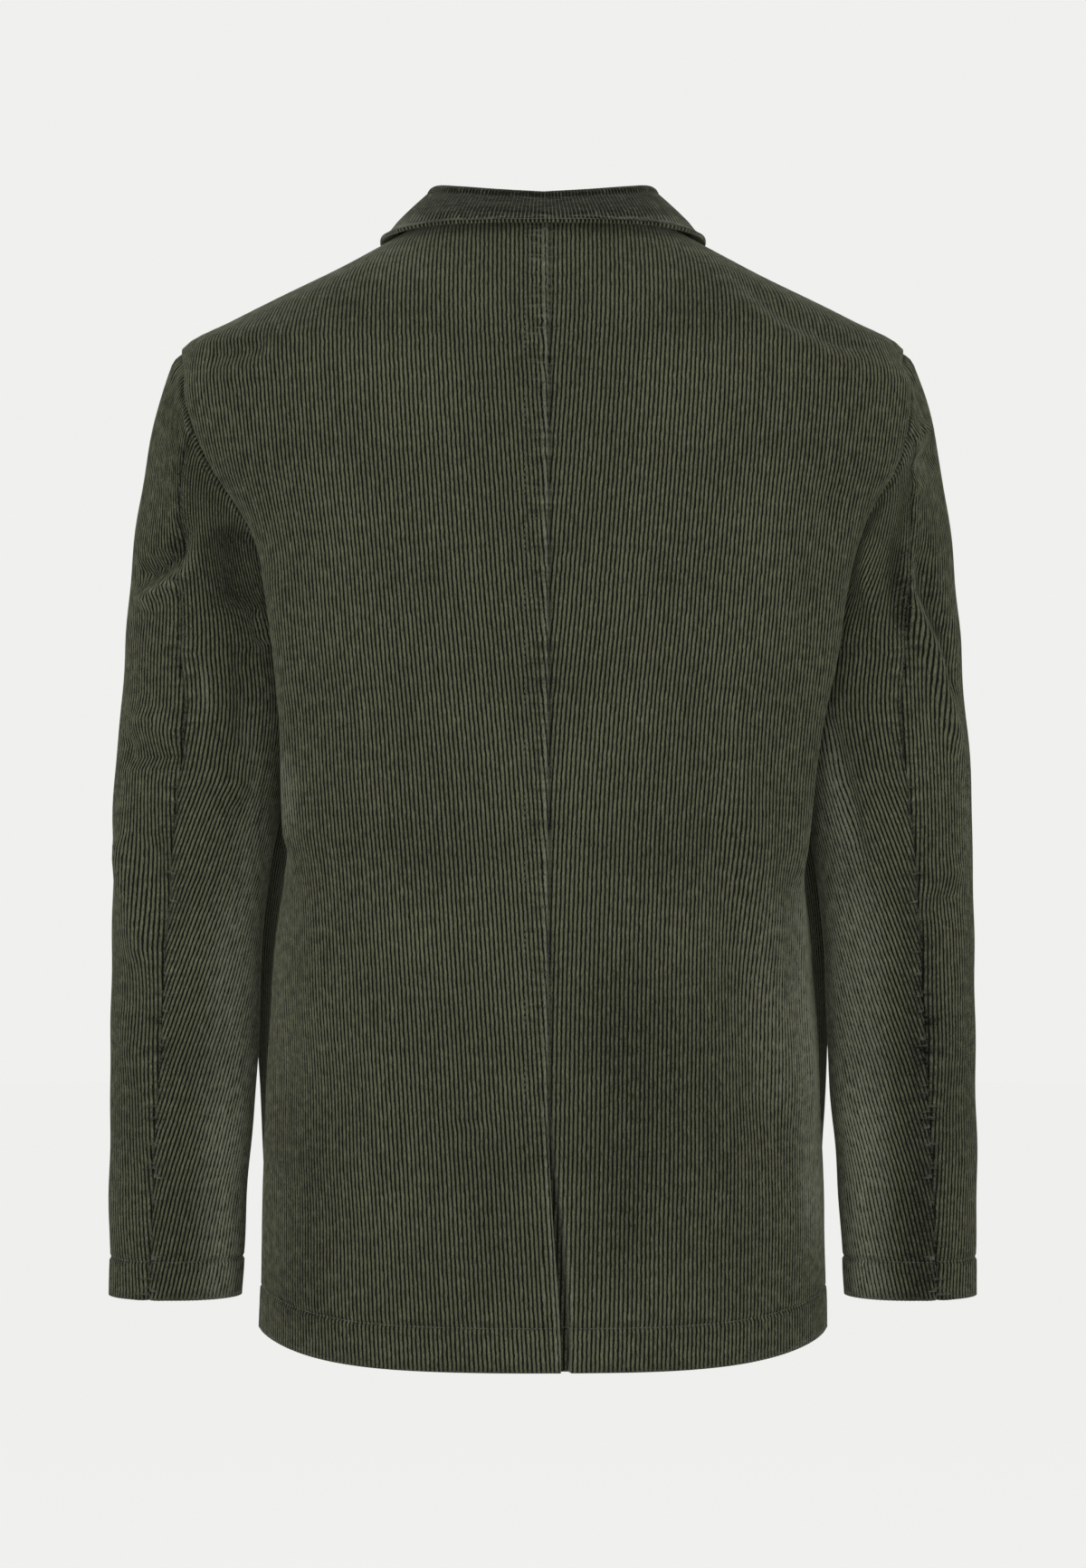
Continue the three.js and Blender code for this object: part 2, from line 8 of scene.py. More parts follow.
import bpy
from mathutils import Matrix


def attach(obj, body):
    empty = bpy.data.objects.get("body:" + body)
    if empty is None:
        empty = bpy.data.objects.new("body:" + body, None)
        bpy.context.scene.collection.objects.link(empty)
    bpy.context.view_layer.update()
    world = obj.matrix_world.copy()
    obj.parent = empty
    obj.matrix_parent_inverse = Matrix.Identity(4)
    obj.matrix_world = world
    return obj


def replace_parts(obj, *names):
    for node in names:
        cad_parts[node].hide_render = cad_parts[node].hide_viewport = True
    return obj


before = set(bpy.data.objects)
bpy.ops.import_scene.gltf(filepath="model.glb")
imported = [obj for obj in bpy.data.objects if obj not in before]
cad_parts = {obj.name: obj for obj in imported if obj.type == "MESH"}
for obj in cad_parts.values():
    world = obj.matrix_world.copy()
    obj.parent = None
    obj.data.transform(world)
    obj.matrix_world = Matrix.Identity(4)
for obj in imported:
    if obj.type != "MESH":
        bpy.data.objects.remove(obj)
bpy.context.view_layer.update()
print("nodes to dress:", sorted(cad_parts))

# %% Tools used throughout
import math

import bmesh
import bpy
import numpy as np
from mathutils import Matrix, Vector

MM = 0.001
scene = bpy.context.scene


def link(name, data):
    """A new object of the scene that holds this data."""
    thing = bpy.data.objects.new(name, data)
    scene.collection.objects.link(thing)
    return thing


def keep_mesh(bm, mesh):
    """The mesh, after the edited bmesh is written into it."""
    bm.to_mesh(mesh)
    bm.free()
    return mesh


def finish_smooth(mesh, finish):
    """Shades a mesh smooth and gives it one finish."""
    mesh.polygons.foreach_set("use_smooth", [True] * len(mesh.polygons))
    mesh.materials.append(finish)


# %% [markdown]
# ## Camera, light and floor
# The photograph looks straight at the back from a few steps away, level with the jacket's
# middle. A long lens does that: its focal length follows from how much the picture's width
# spans at the jacket. Large soft lamps stand in for a studio, and the floor is plain and pale.

# %% Camera
PICTURE_SPAN = 698.4  # what the picture's width takes in at the jacket's middle
EYE_DISTANCE = 2500
EYE_HEIGHT = -344

camera_data = bpy.data.cameras.new("studio_camera")
camera_data.sensor_fit = "HORIZONTAL"
camera_data.lens = camera_data.sensor_width * EYE_DISTANCE / PICTURE_SPAN
camera = link("studio_camera", camera_data)
camera.location = (0, EYE_DISTANCE * MM, EYE_HEIGHT * MM)
camera.rotation_euler = (math.radians(90), 0, math.radians(180))
scene.camera = camera
print("lens in millimetres:", round(camera_data.lens, 1))

# %% Lamps
LOOK_AT = Vector((0, 0, -0.35))
LAMPS = {
    "key_lamp": {"place": (0.6, 2.4, 2.0), "size": 1.1, "watts": 28},
    "left_lamp": {"place": (2.6, 1.5, 0.3), "size": 1.2, "watts": 20},
    "right_lamp": {"place": (-2.6, 1.5, 0.3), "size": 1.2, "watts": 23},
    "low_left_lamp": {"place": (0.35, 2.8, -0.6), "size": 0.8, "watts": 23},
    "low_right_lamp": {"place": (-0.35, 2.8, -0.6), "size": 0.8, "watts": 21},
    "front_lamp": {"place": (0.4, -2.8, 1.2), "size": 2.0, "watts": 75},
}


def add_lamp(name, place, size, watts):
    """A square soft lamp that faces the jacket."""
    data = bpy.data.lights.new(name, "AREA")
    data.size = size
    data.energy = watts
    lamp = link(name, data)
    lamp.location = place
    lamp.rotation_euler = (LOOK_AT - lamp.location).to_track_quat("-Z", "Y").to_euler()


for name, settings in LAMPS.items():
    add_lamp(name, **settings)

# %% Backdrop and floor
BACKDROP = (0.871, 0.871, 0.855, 1)
FLOOR_HEIGHT = -1.45  # where a standing wearer's feet would be
FLOOR_RADIUS = 12
FLOOR_GREY = (0.02, 0.02, 0.02, 1)
FLOOR_GLOW = 0.985
SKY_ABOVE = 0.32
SKY_BELOW = 0.14

scene.view_settings.view_transform = "Standard"
scene.world = bpy.data.worlds.new("studio")
scene.world.use_nodes = True
scene.world.node_tree.nodes["Background"].inputs["Color"].default_value = BACKDROP


def soft_sky(tree):
    """The backdrop for the camera, and for the cloth a softer light, weaker from below."""
    seen = tree.nodes["Background"]
    glow = tree.nodes.new("ShaderNodeBackground")
    place = tree.nodes.new("ShaderNodeTexCoord")
    split = tree.nodes.new("ShaderNodeSeparateXYZ")
    height = tree.nodes.new("ShaderNodeMapRange")
    height.inputs["From Min"].default_value = -1.0
    height.inputs["To Min"].default_value = SKY_BELOW
    height.inputs["To Max"].default_value = SKY_ABOVE
    ray = tree.nodes.new("ShaderNodeLightPath")
    choice = tree.nodes.new("ShaderNodeMixShader")
    tree.links.new(place.outputs["Generated"], split.inputs[0])
    tree.links.new(split.outputs["Z"], height.inputs["Value"])
    tree.links.new(height.outputs[0], glow.inputs["Strength"])
    tree.links.new(ray.outputs["Is Camera Ray"], choice.inputs[0])
    tree.links.new(glow.outputs[0], choice.inputs[1])
    tree.links.new(seen.outputs[0], choice.inputs[2])
    tree.links.new(choice.outputs[0], tree.nodes["World Output"].inputs["Surface"])


soft_sky(scene.world.node_tree)

bm = bmesh.new()
bmesh.ops.create_circle(bm, cap_ends=True, segments=96, radius=FLOOR_RADIUS)
bmesh.ops.translate(bm, verts=bm.verts, vec=(0, 0, FLOOR_HEIGHT))
floor = link("floor", keep_mesh(bm, bpy.data.meshes.new("floor")))

floor_paint = bpy.data.materials.new("floor_paint")
floor_paint.use_nodes = True
paint = floor_paint.node_tree.nodes["Principled BSDF"]
paint.inputs["Base Color"].default_value = FLOOR_GREY
paint.inputs["Roughness"].default_value = 1.0
paint.inputs["Specular IOR Level"].default_value = 0.0
paint.inputs["Emission Color"].default_value = BACKDROP
paint.inputs["Emission Strength"].default_value = FLOOR_GLOW
floor.data.materials.append(floor_paint)
floor.visible_diffuse = False  # the cloth is lit by the sky and the lamps alone

# %% [markdown]
# ## The jacket's form
# The form is a stack of body sections and sleeve sections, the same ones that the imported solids
# were made from. Each table row is one height, and a smooth curve runs through the rows. From
# it the script can ask for any point of the surface, and for the direction that faces out.

# %% Sections of the body
CLOTH = 2.2  # thickness of the corduroy
NECK_TOP = 12
SHOULDER_TIP = -66
UNDERARM = -215
ARMHOLE_MIDDLE = (SHOULDER_TIP + UNDERARM) / 2
ARMHOLE_HALF = (SHOULDER_TIP - UNDERARM) / 2
HEM = -703
HEM_RISE = 13
HEM_RISE_FROM = -560
SIDE_SEAM_Y = 4
SIDE_SEAM_SLOPE = 0.02  # how far the side seam runs back for each millimetre down
ARMHOLE_REACH = {1: 54, -1: -56}  # how far the armhole goes behind and before the side seam
CENTRE_SEAM_X = -4
SECTION_POWER = 2.4
ARM_ROOM = 52

# z, depth behind, depth before, half-widths of the back left and right, of the chest, under the arm
Z, BACK, FRONT, LEFT, RIGHT, CHEST, SIDE = range(7)
BODY = np.array([
    (12, 65, 36, 82, 82, 82, 82),
    (0, 74, 46, 102, 102, 102, 102),
    (-15, 84, 57, 131, 131, 131, 131),
    (-34, 94, 71, 170, 170, 170, 170),
    (-50, 102, 80, 201, 201, 201, 201),
    (-66, 108, 88, 231, 230, 230, 230),
    (-90, 115, 98, 230, 232, 224, 226),
    (-120, 122, 109, 221, 229, 212, 216),
    (-145, 126, 118, 208, 221, 204, 200),
    (-168, 129, 124, 192, 207, 194, 183),
    (-190, 130, 128, 181, 198, 186, 169),
    (-215, 130, 131, 175, 192, 178, 163),
    (-262, 127, 132, 169, 185, 170, 156),
    (-300, 123, 130, 165, 177, 167, 152),
    (-350, 118, 125, 165, 170, 176, 157),
    (-394, 116, 121, 166, 167, 184, 164),
    (-447, 118, 122, 171, 170, 188, 171),
    (-521, 123, 127, 175, 175, 187, 176),
    (-600, 128, 131, 178, 179, 183, 179),
    (-703, 133, 134, 181, 181, 182, 181),
], float)


def hermite(start, leave, end, arrive, t):
    """A point of the smooth curve from start to end that sets off and comes in as told."""
    return (
        (2 * t**3 - 3 * t**2 + 1) * start
        + (t**3 - 2 * t**2 + t) * leave
        + (3 * t**2 - 2 * t**3) * end
        + (t**3 - t**2) * arrive
    )


def smooth_rows(table, keys):
    """Rows of a table at the keys asked for, on a smooth curve through its written rows."""
    keys = np.asarray(keys, float)
    written = table[:, 0] * np.sign(table[-1, 0] - table[0, 0])
    asked = keys * np.sign(table[-1, 0] - table[0, 0])
    last = len(table) - 1
    k = np.clip(np.searchsorted(written, asked, side="right") - 1, 0, last - 1)
    a, b = table[k], table[k + 1]
    before, after = table[np.maximum(k - 1, 0)], table[np.minimum(k + 2, last)]
    span = (b - a)[..., :1]
    t = np.clip((keys[..., None] - a[..., :1]) / span, 0, 1)
    leave = span * (b - before) / (b - before)[..., :1]
    arrive = span * (after - a) / (after - a)[..., :1]
    return hermite(a, leave, b, arrive, t)


def signed_power(value, power):
    return np.sign(value) * np.abs(value) ** power


def smoothstep(value, low, high):
    t = np.clip((value - low) / (high - low), 0, 1)
    return t * t * (3 - 2 * t)


def bell(distance, width):
    """A bell curve: 1 where the distance is zero, and about a third at the width."""
    return np.exp(-((distance / width) ** 2))


def hump(distance, at, rise, width):
    return rise * bell(distance - at, width)


def lengths_along(points):
    """Lengths along each row of points, or along one line of them, from its first point."""
    lengths = np.cumsum(np.linalg.norm(np.diff(points, axis=-2), axis=-1), axis=-1)
    return np.concatenate([np.zeros_like(lengths[..., :1]), lengths], axis=-1)


def half_width(reach, depth, side_width, angle):
    """Half-width of a section at an angle: 0 is the side, a quarter turn the centre."""
    y = depth * np.abs(np.sin(angle)) ** (2 / SECTION_POWER)
    dent = (reach - side_width) * np.exp(-((y / ARM_ROOM) ** 4))
    return reach * signed_power(np.cos(angle), 2 / SECTION_POWER) - dent


# %% Any point of the body
HEIGHTS = np.arange(HEM - 1, NECK_TOP + 2, 1.0)
LEVELS = smooth_rows(BODY, np.clip(HEIGHTS, HEM, NECK_TOP))


def reach_for(widest, depth):
    """The section's reach at each height, so that its widest place is as wide as told."""
    angles = np.linspace(0, math.pi / 2, 31)
    reach = widest.copy()
    for _ in range(5):
        widths = half_width(reach[:, None], depth[:, None], LEVELS[:, SIDE, None], angles)
        reach += widest - widths.max(axis=1)
    return reach


REACH = {
    (1, 1): reach_for(LEVELS[:, LEFT], LEVELS[:, BACK]),
    (-1, 1): reach_for(LEVELS[:, RIGHT], LEVELS[:, BACK]),
    (1, -1): reach_for(LEVELS[:, CHEST], LEVELS[:, FRONT]),
}
REACH[-1, -1] = REACH[1, -1]


def at_height(z, column):
    return np.interp(z, HEIGHTS, column)


def depth_at(z, behind):
    return np.where(behind, at_height(z, LEVELS[:, BACK]), at_height(z, LEVELS[:, FRONT]))


def body_surface(side, z, angle):
    """Points of the body. side is 1 for the wearer's left; a positive angle is the back."""
    z, angle = np.broadcast_arrays(z, angle)
    depth = depth_at(z, angle >= 0)
    reach = np.where(angle >= 0, at_height(z, REACH[side, 1]), at_height(z, REACH[side, -1]))
    width = half_width(reach, depth, at_height(z, LEVELS[:, SIDE]), angle)
    y = depth * signed_power(np.sin(angle), 2 / SECTION_POWER)
    return np.stack([side * width, y, z], axis=-1)


def angle_at_y(z, y):
    depth = depth_at(z, np.asarray(y) >= 0)
    return np.arcsin(signed_power(y / depth, SECTION_POWER / 2))


def angle_at_x(side, face, z, x):
    """x counts from the middle towards this side; face is 1 for the back and -1 for the front."""
    reach = at_height(z, REACH[side, face])
    return face * np.arccos(signed_power(np.clip(x / reach, -1, 1), SECTION_POWER / 2))


def unit(vectors):
    return vectors / np.maximum(np.linalg.norm(vectors, axis=-1, keepdims=True), 1e-9)


def body_out(side, z, angle):
    """The direction that faces out of the body."""
    along = body_surface(side, z, angle + 0.01) - body_surface(side, z, angle - 0.01)
    above = body_surface(side, np.minimum(z + 1, NECK_TOP), angle)
    below = body_surface(side, np.maximum(z - 1, HEM), angle)
    return unit(np.cross(along, above - below)) * side


def seam_y(z, face):
    """Depth of the line where a panel ends: the side seam, the armhole, then the shoulder seam."""
    part = np.clip((z - ARMHOLE_MIDDLE) / ARMHOLE_HALF, -1, 1)
    armhole = SIDE_SEAM_Y + ARMHOLE_REACH[face] * np.sqrt(1 - part * part)
    return np.where(z <= UNDERARM, SIDE_SEAM_Y + SIDE_SEAM_SLOPE * (UNDERARM - z), armhole)


def hem_height(z, angle):
    """Heights near the hem, which rises towards the side seams."""
    return z + HEM_RISE * np.cos(angle) ** 4 * smoothstep(HEM_RISE_FROM - z, 0, HEM_RISE_FROM - HEM)


# %% [markdown]
# ## Creases
# A soft jacket is never flat. Each crease here is one line on the cloth as the camera sees it,
# with a width and a height: above zero it is a ridge, below zero a trough. A bell curve across
# the line and a fade at its ends keep it soft.

# %% The creases, listed
# The key is the panel or sleeve and the face that it is seen from, 1 behind and -1 before.
# A row holds the points (x, z) along the crease, its half-width and its height.
CREASES = {
    ("back_right", 1): [
        ([(-122, -330), (-163, -580)], 15, 4.5),
        ([(-100, -330), (-140, -585)], 14, -3.5),
        ([(-119, -20), (-149, -49), (-183, -68), (-212, -71)], 8, -3.6),
        ([(-112, -38), (-150, -66), (-205, -88)], 9, 2),
        ([(-160, -372), (-164, -440), (-170, -560)], 5, 2.2),
        ([(-60, -560), (-64, -640)], 12, -1.5),
        ([(-186, -150), (-172, -200), (-160, -260)], 9, -2),
    ],
    ("back_left", 1): [
        ([(214, -76), (188, -74), (168, -71)], 7, -3.6),
        ([(150, -60), (182, -86), (205, -92)], 9, 2),
        ([(58, -558), (34, -556), (16, -547), (0, -538)], 4, -3.2),
        ([(62, -548), (36, -545), (14, -535)], 7, 2.2),
        ([(56, -572), (22, -563)], 7, 1.8),
        ([(160, -330), (156, -440), (162, -560)], 9, -2.2),
        ([(96, -470), (104, -600)], 14, 1.6),
        ([(170, -205), (158, -262), (156, -300)], 8, 1.6),
    ],
    ("sleeve_left", 1): [
        ([(222, -176), (229, -203), (264, -217)], 7, -10),
        ([(212, -188), (230, -214), (262, -231)], 6, 7),
        ([(198, -180), (190, -236)], 13, -9),
        ([(182, -234), (176, -256)], 4, -5),
        ([(190, -258), (187, -318)], 8, -4),
        ([(226, -262), (192, -268)], 6, 2),
        ([(262, -300), (224, -313)], 8, 4.5),
        ([(272, -320), (248, -326), (222, -331)], 6, -6),
        ([(216, -330), (186, -352)], 8, 4.5),
        ([(274, -372), (250, -462)], 11, 6),
        ([(248, -372), (232, -450)], 10, -4),
        ([(262, -500), (240, -590)], 10, 2.4),
    ],
    ("sleeve_right", 1): [
        ([(-242, -116), (-225, -139)], 5, 6),
        ([(-252, -128), (-232, -152)], 6, -5.5),
        ([(-231, -152), (-221, -192), (-223, -243)], 8, -9),
        ([(-222, -150), (-214, -178), (-204, -193), (-202, -215), (-211, -250)], 5, 6.5),
        ([(-226, -188), (-229, -227), (-245, -260), (-257, -305), (-266, -332)], 6, 7.5),
        ([(-237, -190), (-241, -220), (-255, -249), (-268, -296)], 7, -7.5),
        ([(-180, -300), (-193, -350), (-201, -392)], 5, -5),
        ([(-262, -410), (-236, -428)], 9, -3),
        ([(-268, -396), (-240, -412)], 9, 2.6),
        ([(-262, -452), (-246, -560)], 11, 2.6),
    ],
    ("front_left", -1): [
        ([(6, -346), (52, -322), (96, -312)], 9, -2.6),
        ([(8, -352), (60, -352), (110, -362)], 9, 2),
        ([(150, -150), (122, -210), (118, -262)], 14, -2.6),
        ([(96, -420), (110, -560)], 15, 2.2),
    ],
    ("front_right", -1): [
        ([(-24, -344), (-66, -318), (-104, -300)], 9, -2.6),
        ([(-26, -356), (-70, -362)], 8, 2),
        ([(-154, -140), (-130, -200), (-124, -270)], 14, -2.4),
        ([(-84, -440), (-102, -600)], 15, 2),
    ],
    ("sleeve_left", -1): [
        ([(268, -320), (232, -338), (200, -332)], 8, -5),
        ([(270, -302), (236, -318), (204, -314)], 8, 3.4),
        ([(262, -352), (222, -362)], 9, 3),
        ([(232, -150), (246, -206)], 10, -3),
    ],
    ("sleeve_right", -1): [
        ([(-266, -328), (-230, -344), (-198, -336)], 8, -5),
        ([(-270, -308), (-238, -324), (-206, -318)], 8, 3.4),
        ([(-258, -366), (-218, -372)], 9, 3),
        ([(-230, -146), (-246, -214)], 10, -3),
    ],
}

# The same kind of strokes, painted into the cloth's colour: above zero lighter and smoother, below zero
# darker.
# Some are patches of brushed pile. Most are painted light and shade: painted light on the sleeves'
# insides, a painted sheen where the cloth turns away, and painted shade in creases and where the body
# shades the sleeves.
PILE_AND_PAINTED_LIGHT_STROKES = {
    ("back_right", 1): [
        ([(-168, -372), (-166, -480), (-172, -650)], 11, 0.6),
        ([(-140, -400), (-146, -560)], 16, 0.2),
        ([(-30, -430), (-52, -520), (-60, -660)], 36, -0.26),
        ([(-100, -500), (-124, -670)], 20, -0.15),
        ([(-76, -28), (-216, -84)], 28, -0.18),
    ],
    ("back_left", 1): [
        ([(164, -322), (160, -345), (161, -378)], 7, 0.4),
        ([(166, -390), (168, -540)], 8, 0.2),
        ([(140, -560), (148, -690)], 18, -0.2),
        ([(70, -14), (110, -26)], 12, 0.2),
        ([(96, -36), (216, -84)], 26, -0.2),
        ([(24, -540), (60, -690)], 36, -0.14),
    ],
    ("sleeve_left", 1): [
        ([(196, -178), (188, -240)], 15, -0.5),
        ([(226, -84), (212, -176)], 20, -0.28),
        ([(214, -194), (230, -216), (260, -232)], 4, 0.3),
        ([(226, -184), (236, -204), (262, -214)], 6, -0.4),
        ([(214, -268), (211, -300)], 2.5, 0.35),
        ([(270, -324), (226, -334)], 7, -0.3),
        ([(186, -290), (184, -340), (190, -440)], 7, 0.25),
        ([(190, -380), (199, -560), (208, -860)], 16, 0.75),
        ([(199, -530), (206, -900)], 14, 0.5),
        ([(276, -110), (281, -380)], 10, 0.25),
    ],
    ("sleeve_right", 1): [
        ([(-230, -128), (-248, -150)], 8, 0.3),
        ([(-222, -190), (-226, -254)], 7, -0.35),
        ([(-240, -196), (-262, -300)], 7, -0.3),
        ([(-231, -186), (-248, -262), (-266, -330)], 3, 0.25),
        ([(-184, -290), (-181, -340), (-186, -390)], 9, 0.35),
        ([(-190, -350), (-199, -520), (-208, -900)], 17, 0.8),
        ([(-199, -510), (-206, -900)], 15, 0.55),
        ([(-236, -400), (-246, -760)], 13, -0.45),
        ([(-270, -170), (-276, -420)], 9, 0.25),
    ],
    ("front_left", -1): [
        ([(160, -380), (166, -640)], 12, 0.35),
        ([(100, -120), (120, -300)], 24, -0.1),
    ],
    ("front_right", -1): [
        ([(-158, -360), (-166, -640)], 12, 0.35),
        ([(-60, -420), (-70, -620)], 30, -0.1),
    ],
    ("sleeve_left", -1): [
        ([(230, -300), (236, -420)], 12, 0.3),
    ],
    ("sleeve_right", -1): [
        ([(-232, -290), (-240, -420)], 12, 0.3),
    ],
}

# %% From strokes to heights
STROKE_FADE = 0.2  # share of a stroke's length over which it fades at each end
STROKE_LEFT = 0.2  # share of its height that is left at its very end
TURN_DEPTH = 25  # depth over which it fades where the cloth turns to the other face
BODY_EDGE = 20  # depth where the body's strokes have faded
SLEEVE_EDGE = 5  # and the sleeves'


def strokes(table, name, points, edge):
    """The sum of a table's strokes on a panel or sleeve. edge is the depth where they have faded."""
    total = np.zeros(points.shape[:-1])
    x, z = points[..., 0], points[..., 2]
    members = [(face, *row) for face in (1, -1) for row in table.get((name, face), [])]
    for face, line, width, height in members:
        stations = lengths_along(np.array(line, float))
        best = np.full(x.shape, np.inf)
        place = np.zeros(x.shape)
        for (x0, z0), (x1, z1), before, after in zip(line, line[1:], stations, stations[1:]):
            dx, dz = x1 - x0, z1 - z0
            t = np.clip(((x - x0) * dx + (z - z0) * dz) / (dx * dx + dz * dz), 0, 1)
            away = np.hypot(x - x0 - t * dx, z - z0 - t * dz)
            place = np.where(away < best, (before + t * (after - before)) / stations[-1], place)
            best = np.minimum(away, best)
        fade = smoothstep(place, 0, STROKE_FADE) * (1 - smoothstep(place, 1 - STROKE_FADE, 1))
        fade = fade * (1 - STROKE_LEFT) + STROKE_LEFT
        shown = smoothstep(face * points[..., 1], edge, edge + TURN_DEPTH)
        total += height * fade * shown * bell(best, width)
    return total


# %% [markdown]
# ## Wales in the mesh
# Corduroy's ribs are called wales. A picture mapped on a smooth shell would look flat from the
# side, so each wale gets four columns of the mesh: a groove, two shoulders and a crest. Columns
# keep their distance along the cloth, so that wales stay even where a panel narrows, and a
# column that would pass an edge stops there and is merged with it, like cloth cut by shears.

# %% Columns that follow the wales
WALE = 2.72  # from one wale to the next
COLUMN_STEP = WALE / 4  # from one of the mesh's columns to the next
WALE_RISE = 0.66
WALE_ROUND = 0.7  # below 1 the crest is broad and the groove narrow
WALE_MIDDLE = 0.6  # share of the rise that lies under the cloth's middle


def wale_height(across):
    return WALE_RISE * (np.abs(np.sin(math.pi * across / WALE)) ** WALE_ROUND - WALE_MIDDLE)


def wale_columns(low, high, zero, drift):
    """Places of the mesh's columns along each row, and their distance across the cloth.
    low, high and zero are the row's ends and the line that the wales are counted from."""
    base = (zero - drift)[:, None]
    first = math.floor((low - zero + drift).min() / COLUMN_STEP)
    last = math.ceil((high - zero + drift).max() / COLUMN_STEP)
    wanted = np.arange(first, last + 1)[None, :] * COLUMN_STEP
    reach = np.clip(wanted + base, low[:, None], high[:, None])
    return reach, reach - base


def read_rows(asked, given, values):
    """Each row of values, read at the asked places of a rising given row."""
    return np.array([np.interp(a, g, v) for a, g, v in zip(asked, given, values)])


# %% Cloth from a grid of points
MERGE = 0.1  # columns that end at an edge are nearer than this there, and become one


def grid_mesh(name, points):
    """A mesh of quads whose corners are these rows of points, given in millimetres."""
    rows, columns = points.shape[:2]
    bm = bmesh.new()
    bmesh.ops.create_grid(bm, x_segments=columns - 1, y_segments=rows - 1, size=1)
    mesh = keep_mesh(bm, bpy.data.meshes.new(name))
    mesh.vertices.foreach_set("co", (points * MM).astype(np.float32).ravel())
    return mesh


def lay_cloth(name, points, outs, cloth_map, pucker, nap_and_painted_light):
    """A wall of cloth whose outer face has these points. cloth_map is across and down in mm."""
    rows, columns = points.shape[:2]
    mesh = grid_mesh(name, points)
    corners = np.zeros(len(mesh.loops), np.int32)
    mesh.loops.foreach_get("vertex_index", corners)
    layer = mesh.uv_layers.new(name="cloth")
    layer.data.foreach_set("uv", cloth_map.reshape(-1, 2)[corners].astype(np.float32).ravel())
    # The second attribute holds mostly painted light and shade, with some patches of brushed pile.
    for word, values in (("pucker", pucker), ("nap_and_painted_light", nap_and_painted_light)):
        attribute = mesh.attributes.new(word, "FLOAT", "POINT")
        attribute.data.foreach_set("value", values.astype(np.float32).ravel())

    bm = bmesh.new()
    bm.from_mesh(mesh)
    bmesh.ops.remove_doubles(bm, verts=bm.verts, dist=MERGE * MM)
    bm.normal_update()
    middle = Vector(points[rows // 2, columns // 2] * MM)
    nearest = min(bm.faces, key=lambda face: (face.calc_center_median() - middle).length)
    if nearest.normal.dot(Vector(outs[rows // 2, columns // 2])) < 0:
        bmesh.ops.reverse_faces(bm, faces=bm.faces)
    finish_smooth(keep_mesh(bm, mesh), corduroy_finish)

    panel = link(f"{name}_cloth", mesh)
    wall = panel.modifiers.new("wall", "SOLIDIFY")
    wall.thickness = CLOTH * MM
    wall.offset = -1
    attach(panel, "root")
    print(name, "rows", rows, "columns", columns, "faces", len(mesh.polygons))
    return panel


# %% [markdown]
# ## The corduroy's finish
# The crest of a wale is brushed pile, so it scatters light softly and shines a little where the
# surface turns away: that is the sheen. The grooves show the ground of the cloth, and their near-black
# colour is painted shade of the deep pile beside them.
# Noise stretched along the wales gives the broken streaks of real pile, and a wider noise the
# patches where it has been stroked up or down.


# %% Helpers for finishes
def new_finish(name, **values):
    """A material with these values on its shader, and its node tree."""
    material = bpy.data.materials.new(name)
    material.use_nodes = True
    shader = material.node_tree.nodes["Principled BSDF"]
    for socket, value in values.items():
        shader.inputs[socket.replace("_", " ")].default_value = value
    return material, shader


def add_node(material, kind, inputs=(), **settings):
    """A node with some of its inputs set to values or linked to other nodes' outputs."""
    node = material.node_tree.nodes.new(kind)
    for key, value in settings.items():
        setattr(node, key, value)
    for key, value in dict(inputs).items():
        if isinstance(value, bpy.types.NodeSocket):
            material.node_tree.links.new(value, node.inputs[key])
        else:
            node.inputs[key].default_value = value
    return node


def reckon(material, operation, *values):
    """One step of arithmetic on values or outputs."""
    node = add_node(material, "ShaderNodeMath", dict(enumerate(values)), operation=operation)
    return node.outputs[0]


def noise_on(material, place, size, detail=2.0):
    """Noise on a place that was already stretched, about as large as size in millimetres."""
    inputs = {"Vector": place, "Scale": 1 / size, "Detail": detail}
    return add_node(material, "ShaderNodeTexNoise", inputs, noise_dimensions="2D").outputs["Fac"]


def centred(material, noise):
    """Noise that swings about zero."""
    return reckon(material, "SUBTRACT", noise, 0.5)


# %% Corduroy
CREST = (0.08, 0.085, 0.051, 1)
# the grooves' colour: the cloth's ground, darkened nearly to black as painted shade of the deep pile
GROOVE = (0.003, 0.0033, 0.002, 1)
# sizes of the pile's unevenness in millimetres, from single beads of pile to stroked patches
BEAD, STREAK, CLUMP, PATCH, WRINKLE = 1.5, 1.2, 6, 60, 5.5
WANDER = 0.9  # how far the grooves wander from their line
GROOVE_FROM, GROOVE_TO = 0.41, 0.7  # from a wale's crest to its edge: where the pile ends
STREAK_EDGE, BEAD_EDGE = 0.5, 0.6  # how ragged streaks and beads make that edge
STROKED_SMOOTH = 0.4  # above this much painted light the pile looks no smoother
SMOOTH_CLOSES = 0.28  # how far painted light and smooth pile close the grooves
SMOOTH_PALES = 0.6  # and how much paler the painted light makes the colour
PUCKER_EVERYWHERE = 0.08  # what is left of the puckering away from the seams
LIGHT = 1.03
WRINKLE_DEPTH = 9
BEAD_DEPTH = 0.6


